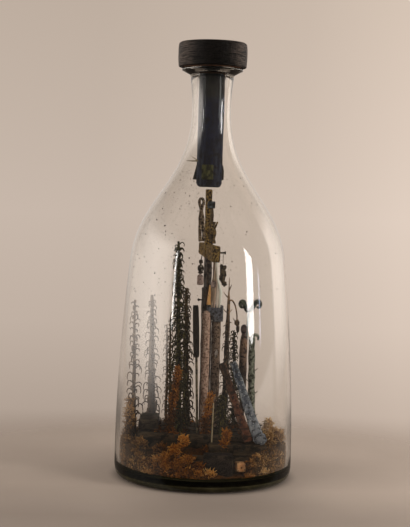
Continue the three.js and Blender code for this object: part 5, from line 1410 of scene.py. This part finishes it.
# Stopper key and pin
# The key is a thin dark slip pushed through the foot of the stem, with ears that catch under the
# shoulder; the pin with a square olive head holds the key in place.
key_wood = finish("dark_key_wood", [(16, 15, 14), (30, 27, 23), (48, 42, 34)], grain=(120, 700, 700),
                  wear_and_highlight=(78, 68, 54), grime=((12, 11, 10), 300, 0.4))
make("lock_key", [
    plate([(-12.65, 219.4), (10.25, 219.4), (10.3, 226.5), (9.5, 230.4), (-9.9, 230.4)], -2, 2,
          lambda x, y, z: Vector((x, y, z)), 0.6, 0.15, 99),
], key_wood, body="stopper")
pin_olive = finish("olive_pin", [(30, 31, 14), (46, 48, 21), (64, 64, 32)], patch=260, wear_and_highlight=(82, 80, 46),
                   grime=((22, 22, 12), 320, 0.35))
make("lock_pin", [
    squared((-1.8, -7.3, 224.9), (-1.8, -5.3, 224.9), (1, 0, 0), 8.4, 10.9, 0.7, 0.15, 100, step=0.8),
    strand([Vector((-1.8, -5.4 + 11.4 * i / 6, 224.9)) for i in range(7)], 1.7, 12),
], pin_olive, body="stopper")

# Dust and painted shade
# Specks of old dust and paint and a wisp of dry grass that cling to the inside of the glass, most
# of them on the shoulder, and a dark olive layer of painted shade under the floor and in the heel of the
# foot.
# A dark olive layer in the underside and heel of the foot: painted shade seen through the thick glass.
foot_shade_layer = finish("foot_shade_layer", [(46, 43, 28), (62, 57, 38), (80, 73, 50)], patch=120, grain=(160, 160, 160),
                   relief=0.0002, gloss=0.05)
make("foot_shade_layer", [
    turned([(0, 5.52), (20, 5.32), (36, 4.82), (43.1, 3.92), (47.2, 1.75), (49.1, 0.65), (51, 0.32),
            (60, 0.32), (61.8, 0.78), (63.1, 1.85), (64.0, 3.3), (64.6, 4.9), (64.75, 4.85), (64.15, 3.2),
            (63.25, 1.7), (61.9, 0.62), (60, 0.16), (51, 0.16), (49, 0.5), (47.1, 1.6), (43, 3.76),
            (36, 4.66), (20, 5.16), (0, 5.36)], (0, 0, 0), 120),
], foot_shade_layer, node=None)


def on_glass(x, z):
    """A point on the front of the bottle, just inside the glass."""
    away = inside_radius(z) - 0.9
    return Vector((x, -math.sqrt(away * away - x * x), z))


dry_grass = finish("dry_grass", [(84, 74, 50), (116, 102, 72), (140, 124, 92)], grain=(90, 900, 900))
make("wisp", [
    strand([on_glass(-8.9 - 0.95 * i, 232.6 - 0.12 * i + 0.02 * i * i) for i in range(9)],
           lambda s: 0.95 - 0.6 * s, 8, 0.6),
    strand([on_glass(-9.2 - 0.7 * i, 233.2 + 0.5 * i) for i in range(7)], lambda s: 0.5 - 0.36 * s, 6, 0.5),
], dry_grass, node=None)
SPECK_COUNT = 560
dust_pick = random.Random(9)
dust_brown = finish("dust", [(40, 31, 24), (62, 50, 40), (90, 76, 62)], patch=600)
specks = []
for _ in range(SPECK_COUNT):
    z = dust_pick.uniform(135, 226) if dust_pick.random() < 0.75 else dust_pick.uniform(45, 226)
    angle = dust_pick.uniform(0, 2 * math.pi)
    if dust_pick.random() < 0.5:
        angle = math.radians(dust_pick.gauss(235, 26))
    size = dust_pick.uniform(0.1, 0.24) + 0.3 * dust_pick.random() ** 6
    out = Vector((math.cos(angle), math.sin(angle), 0))
    middle = out * (inside_radius(z) - 0.45) + Vector((0, 0, z))
    specks.append(lump(middle, (size, size, size * dust_pick.uniform(0.6, 1.6)), z, 0.4, 4, 5))
make("dust", specks, dust_brown, node=None)
